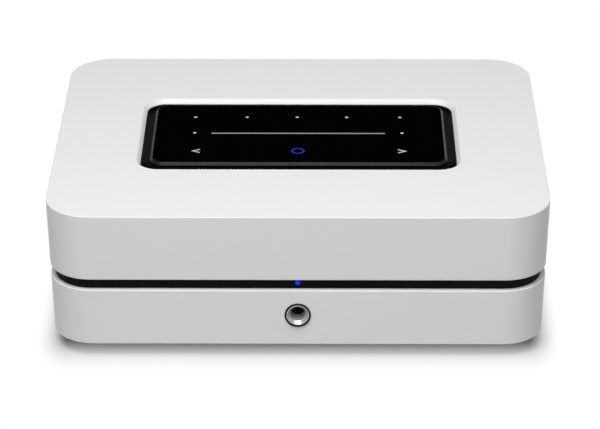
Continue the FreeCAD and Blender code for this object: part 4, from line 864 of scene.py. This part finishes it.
def cap_rib(radius, length):
    """One raised land of a post cap, curved as the cap is and softened along its edges."""
    half = math.pi / CAP_RIBS - 0.6 / radius
    section = [(-half, radius - 0.75), (-half, radius - 0.2), (-half * 0.8, radius)]
    section += [(half * f, radius) for f in (-0.4, 0.0, 0.4, 0.8)]
    section += [(half, radius - 0.2), (half, radius - 0.75)]
    wear = [1.0 if reach > radius - 0.3 and abs(turn) > half * 0.7 else 0.1 for turn, reach in section]
    rings = []
    for y, drop in ((0.0, 0.25), (0.25, 0.0), (length, 0.0)):
        rings.append(([((reach - drop) * math.cos(turn), y, (reach - drop) * math.sin(turn))
                       for turn, reach in section], wear))
    return loft(rings, capped=True)


def make_post_caps():
    """The screw caps of the speaker posts: a ribbed grip and a smooth rounded end with its plug hole."""
    for number in range(1, 5):
        label = f"post_cap_{number}"
        low, high = node_box(label)
        radius, start, end = (high.x - low.x) / 2, low.y, high.y
        centre = ((low.x + high.x) / 2, 0.0, (low.z + high.z) / 2)
        smooth = end - CAP_END
        core = radius - 0.62
        body = turned([
            (CAP_BORE, start, 0), (core, start, 0), (core, smooth, 0), (radius - 0.2, smooth, 0.5),
            (radius, smooth + 0.2, 1.0), (radius, end - 0.9, 0.2), (radius - 0.25, end - 0.3, 0.8),
            (radius - 0.9, end, 1.0), (PLUG_HOLE + 0.4, end, 0.2), (PLUG_HOLE, end - 0.4, 0.6),
            (PLUG_HOLE, smooth, 0), (CAP_BORE, smooth, 0),
        ], centre)
        slot = SLOT_OF[label]
        ribs = RING.run(f"{label}_ribs", [(centre[0], start, centre[2])],
                        cap_rib(radius, smooth - start + 0.1), slot,
                        Count=CAP_RIBS, Step=2 * math.pi / CAP_RIBS)
        make_piece(f"{label}_body", body, label)
        make_piece(f"{label}_ribs", ribs, slot=slot, body=f"cap_{number}")


# Touch panel

def make_glass():
    """The black glass with its bevelled rim."""
    bottom, top = glass_low.z, glass_high.z - 0.02
    half_x, half_y, bevel = glass_high.x, (glass_high.y - glass_low.y) / 2, GLASS_BEVEL
    rim = [
        (0.2, bottom, 0.0), (0.0, bottom + 0.2, 0.0), (0.0, top - bevel - 0.08, 0.0),
        (0.03, top - bevel, 0.8), (bevel - 0.08, top - 0.05, 0.8), (bevel + 0.1, top, 0.0),
    ]
    rings = [(outline(half_x - d, half_y - d, GLASS_CORNER - d, z), wear) for d, z, wear in rim]
    slab = make_piece("touch_glass_slab", loft(rings, capped=True), "touch_glass")
    slab.data.materials.append(finishes["glass_rim"])
    for face in slab.data.polygons:
        face.material_index = 0 if face.normal.z > 0.99 else 1


def prints(name, outlines, place, finish, slot):
    """Thin flat shapes: each outline is a list of pairs, and place puts a pair at a depth under the face."""
    shapes = []
    for points in outlines:
        rings = [([place(u, v, depth) for u, v in points], 0.0) for depth in (PRINT_DEPTH, 0.0)]
        shapes.append(loft(rings, capped=True))
    make_piece(name, join_meshes(*shapes), slot=slot, material=finishes[finish])


def dot(x, y, radius=0.76, steps=24):
    """A round outline."""
    return [(x + radius * math.cos(2 * math.pi * i / steps), y + radius * math.sin(2 * math.pi * i / steps))
            for i in range(steps)]


def stroke(points, width):
    """A polyline with square ends as one outline."""
    left, right = [], []
    for i, point in enumerate(points):
        here = Vector(point)
        before = Vector(points[i - 1]) if i else here
        after = Vector(points[i + 1]) if i + 1 < len(points) else here
        way_in, way_out = (here - before), (after - here)
        way_in = way_in.normalized() if way_in.length else way_out.normalized()
        way_out = way_out.normalized() if way_out.length else way_in
        side = Vector((-(way_in.y + way_out.y), way_in.x + way_out.x)).normalized()
        reach = width / 2 / max(0.3, side.dot(Vector((-way_in.y, way_in.x))))
        left.append(here + side * reach)
        right.append(here - side * reach)
    return [(p.x, p.y) for p in left + right[::-1]]


def make_glyphs():
    """The lit prints on the glass: dots, the slider's line, two arrows and a blue ring."""
    top = glass_high.z
    upper_row, slider_row, arrow_row, ring_row = MIDDLE + 17.5, MIDDLE - 0.2, MIDDLE - 19.2, MIDDLE - 19.0
    dots = [dot(x, upper_row) for x in (-48.1, -24.2, -1.0, 21.9, 46.5)]
    dots += [dot(x, slider_row + 0.4) for x in (-47.8, 47.1)]
    arrows = [stroke([(tail, arrow_row + 1.7), (tip, arrow_row), (tail, arrow_row - 1.7)], 0.7)
              for tail, tip in ((-44.7, -47.9), (44.8, 48.2))]
    line = [stroke([(-40.1, slider_row), (39.3, slider_row)], 1.0)]
    for name, outlines, finish in (
            ("panel_dots", dots, "glyph_white"),
            ("panel_arrows", arrows, "glyph_white"),
            ("slider_line", line, "line_grey")):
        prints(name, outlines, lambda x, y, depth: (x, y, top - depth), finish, "panel_glass")
    ring = turned([(2.1, top - PRINT_DEPTH, 0), (3.1, top - PRINT_DEPTH, 0), (3.1, top, 0), (2.1, top, 0)],
                  (-0.35, ring_row, 0.0), "z")
    make_piece("level_ring", ring, slot="status_blue", material=finishes["ring_blue"])


def make_polarity_marks():
    """A plus beside each red post and a minus beside each black one, printed on the rear panel."""
    arm, half, beside, face = 1.3, 0.25, 10.8, panel_high.y + PRINT_DEPTH
    minus = [(-arm, -half), (arm, -half), (arm, half), (-arm, half)]
    plus = [(-arm, -half), (-half, -half), (-half, -arm), (half, -arm), (half, -half), (arm, -half),
            (arm, half), (half, half), (half, arm), (-half, arm), (-half, half), (-arm, half)]
    marks = []
    for number in range(1, 5):
        low, high = node_box(f"post_cap_{number}")
        positive = SLOT_OF[f"post_cap_{number}"] == "post_red"
        x, z = (low.x + high.x) / 2 + (beside if positive else -beside), (low.z + high.z) / 2
        marks.append([(x + u, z + v) for u, v in (plus if positive else minus)])
    prints("polarity_marks", marks, lambda x, z, depth: (x, face - depth, z), "print_white", "panel_black")


# Headphone socket

def make_headphone_socket():
    """A black rounded bezel round a bright flared ferrule."""
    centre = (0.0, 0.0, SOCKET_LEVEL)
    rim, sleeve, bore = BEZEL_RADIUS, BEZEL_SLEEVE, FERRULE_RADIUS
    start, face, end = bezel_low.y, SOCKET_FACE, bezel_high.y
    bezel = turned([
        (bore, start + 0.15, 0), (bore + 0.12, start, 0.4), (rim - 0.35, start, 0.0),
        (rim - 0.1, start + 0.1, 1.0), (rim, start + 0.35, 0), (rim, face, 0), (sleeve, face, 0),
        (sleeve, end, 0), (bore, end, 0),
    ], centre, "y", 72)
    make_piece("socket_bezel", bezel, "headphone_bezel")
    start, end = ferrule_low.y, ferrule_high.y
    ferrule = turned([
        (bore - 0.4, start, 0.6), (bore - 0.1, start + 0.05, 1.0), (bore, start + 0.2, 0), (bore, end, 0),
        (FERRULE_BORE, end, 0), (FERRULE_BORE, start + 3.8, 0), (FERRULE_BORE + 0.11, start + 1.3, 0.8),
        (bore - 0.55, start + 0.1, 0.0),
    ], centre, "y", 72)
    piece = make_piece("socket_ferrule", ferrule, "headphone_ferrule")
    piece.data.materials.append(finishes["socket_lining"])
    for face in piece.data.polygons:
        if math.hypot(face.center.x, face.center.z - SOCKET_LEVEL * MM) < (FERRULE_BORE + 0.09) * MM:
            face.material_index = 1
    dress("headphone_body", material=finishes["socket_black"])
    dress("headphone_contacts", 0.08)


make_lid_half()
make_lower_half()
make_liner()
make_glass()
make_glyphs()
make_headphone_socket()
make_grille()
make_screws()
make_feet()
make_post_caps()
make_polarity_marks()
make_status_lens()
for name in frame["nodes"]:
    if name not in dressed:
        dress(name, 0.5 if name.endswith("_collars") else 0.2)


# Floor, light and camera

WORLD_LIGHT = 0.05
# Where the floor's painted shade lies: an outline inside the object's footprint, how far out the shade fades,
# and how much sooner it fades sideways
SHADE_X, SHADE_Y, SHADE_REACH, SHADE_PINCH = 0.102, 0.064, 0.034, 2.2
SOFTBOXES = {  # place, target, width and height in metres, power in watts
    "key_softbox": ((-0.16, -0.40, 0.84), (0.0, -0.02, 0.05), 0.5, 0.4, 5.7),
    "fill_softbox": ((0.32, -0.30, 0.80), (0.0, -0.02, 0.05), 0.5, 0.4, 1.75),
    "front_softbox": ((-0.1, -1.5, 0.75), (0.0, 0.0, 0.04), 1.1, 1.1, 6.25),
    "back_softbox": ((0.3, 1.6, 0.13), (0.0, 0.0, 0.04), 1.1, 0.2, 3.0),
}
CAMERA_PLACE = Vector((10.1, -1134.4, 591.5)) * MM
CAMERA_TARGET = Vector((0.35, -9.0, 28.35)) * MM
CAMERA_ROLL, CAMERA_LENS, CAMERA_SENSOR = -0.0019, 162.51, 36.0


def seen_directly(tree):
    """1 for rays from the camera, and for rays that gloss or glass sends on."""
    camera, gloss, glass = [tree.node("ShaderNodeLightPath", output=f"Is {kind} Ray")
                            for kind in ("Camera", "Glossy", "Transmission")]
    return camera.most(gloss).most(glass)


def make_floor():
    """A white floor that keeps the shadow near the object and goes over into plain white. Near the object its
    colour is a mid grey: painted shade round the real shadow.
    """
    bm = bmesh.new()
    bmesh.ops.create_grid(bm, x_segments=1, y_segments=1, size=3.0)
    mesh = bpy.data.meshes.new("floor")
    bm.to_mesh(mesh)
    bm.free()
    floor = linked("floor", mesh)
    material = bpy.data.materials.new("floor_white_painted_shade")
    material.use_nodes = True
    paint = Tree(material.node_tree)
    place = paint.node("ShaderNodeTexCoord", output="Object")
    x = paint.node("ShaderNodeSeparateXYZ", {}, {"Vector": place}, "X")
    y = paint.node("ShaderNodeSeparateXYZ", {}, {"Vector": place}, "Y")
    out_x = (abs(x) - SHADE_X).most(0.0) * SHADE_PINCH
    out_y = (abs(y - MIDDLE * MM) - SHADE_Y).most(0.0)
    away = (out_x * out_x + out_y * out_y) ** 0.5
    # Painted shade on the floor, fading out with distance past that outline
    painted_shade_fade = paint.node("ShaderNodeMapRange", {"interpolation_type": "SMOOTHSTEP"}, {
        "Value": away, "From Min": 0.0, "From Max": SHADE_REACH})
    seen = seen_directly(paint)
    # The camera sees a mid grey floor near the object (painted shade); light bounced off the floor sees a
    # darker grey
    shade = paint.node("ShaderNodeMix", {"data_type": "RGBA"}, {
        0: seen, 6: (0.42, 0.42, 0.42, 1.0), 7: (0.5, 0.5, 0.5, 1.0)}, output=2)
    matt = paint.node("ShaderNodeBsdfDiffuse", {}, {"Color": shade})
    white = paint.node("ShaderNodeEmission", {}, {"Color": (1.0, 1.0, 1.0, 1.0), "Strength": 1.0})
    # Past the painted shade the camera sees plain white
    both = paint.node("ShaderNodeMixShader", {}, {0: painted_shade_fade * seen, 1: matt, 2: white})
    paint.node("ShaderNodeOutputMaterial", {}, {"Surface": both})
    mesh.materials.append(material)


def make_world():
    """Soft even light from all round, seen as plain white."""
    world = bpy.data.worlds.new("studio")
    bpy.context.scene.world = world
    world.use_nodes = True
    air = Tree(world.node_tree)
    strength = WORLD_LIGHT + seen_directly(air) * (1.0 - WORLD_LIGHT)
    back = air.node("ShaderNodeBackground", {}, {"Color": (1.0, 1.0, 1.0, 1.0), "Strength": strength})
    air.node("ShaderNodeOutputWorld", {}, {"Surface": back})


def aimed(obj, place, target, roll=0.0):
    """Puts a light or the camera at a place, turned to its target."""
    obj.location = place
    way = (Vector(target) - Vector(place)).to_track_quat("-Z", "Y")
    obj.rotation_euler = (way @ Quaternion((0.0, 0.0, 1.0), roll)).to_euler()


def make_softboxes():
    """Large soft lights above, in front and behind."""
    for name, (place, target, width, height, power) in SOFTBOXES.items():
        lamp = bpy.data.lights.new(name, "AREA")
        lamp.shape = "RECTANGLE"
        lamp.size, lamp.size_y = width, height
        lamp.energy = power
        aimed(linked(name, lamp), place, target)


def make_camera():
    """The photograph's view: a long lens from the front and above."""
    data = bpy.data.cameras.new("camera")
    data.lens, data.sensor_width = CAMERA_LENS, CAMERA_SENSOR
    camera = linked("camera", data)
    aimed(camera, CAMERA_PLACE, CAMERA_TARGET, CAMERA_ROLL)
    bpy.context.scene.camera = camera


make_floor()
make_world()
make_softboxes()
make_camera()
bpy.context.scene.view_settings.view_transform = "Standard"
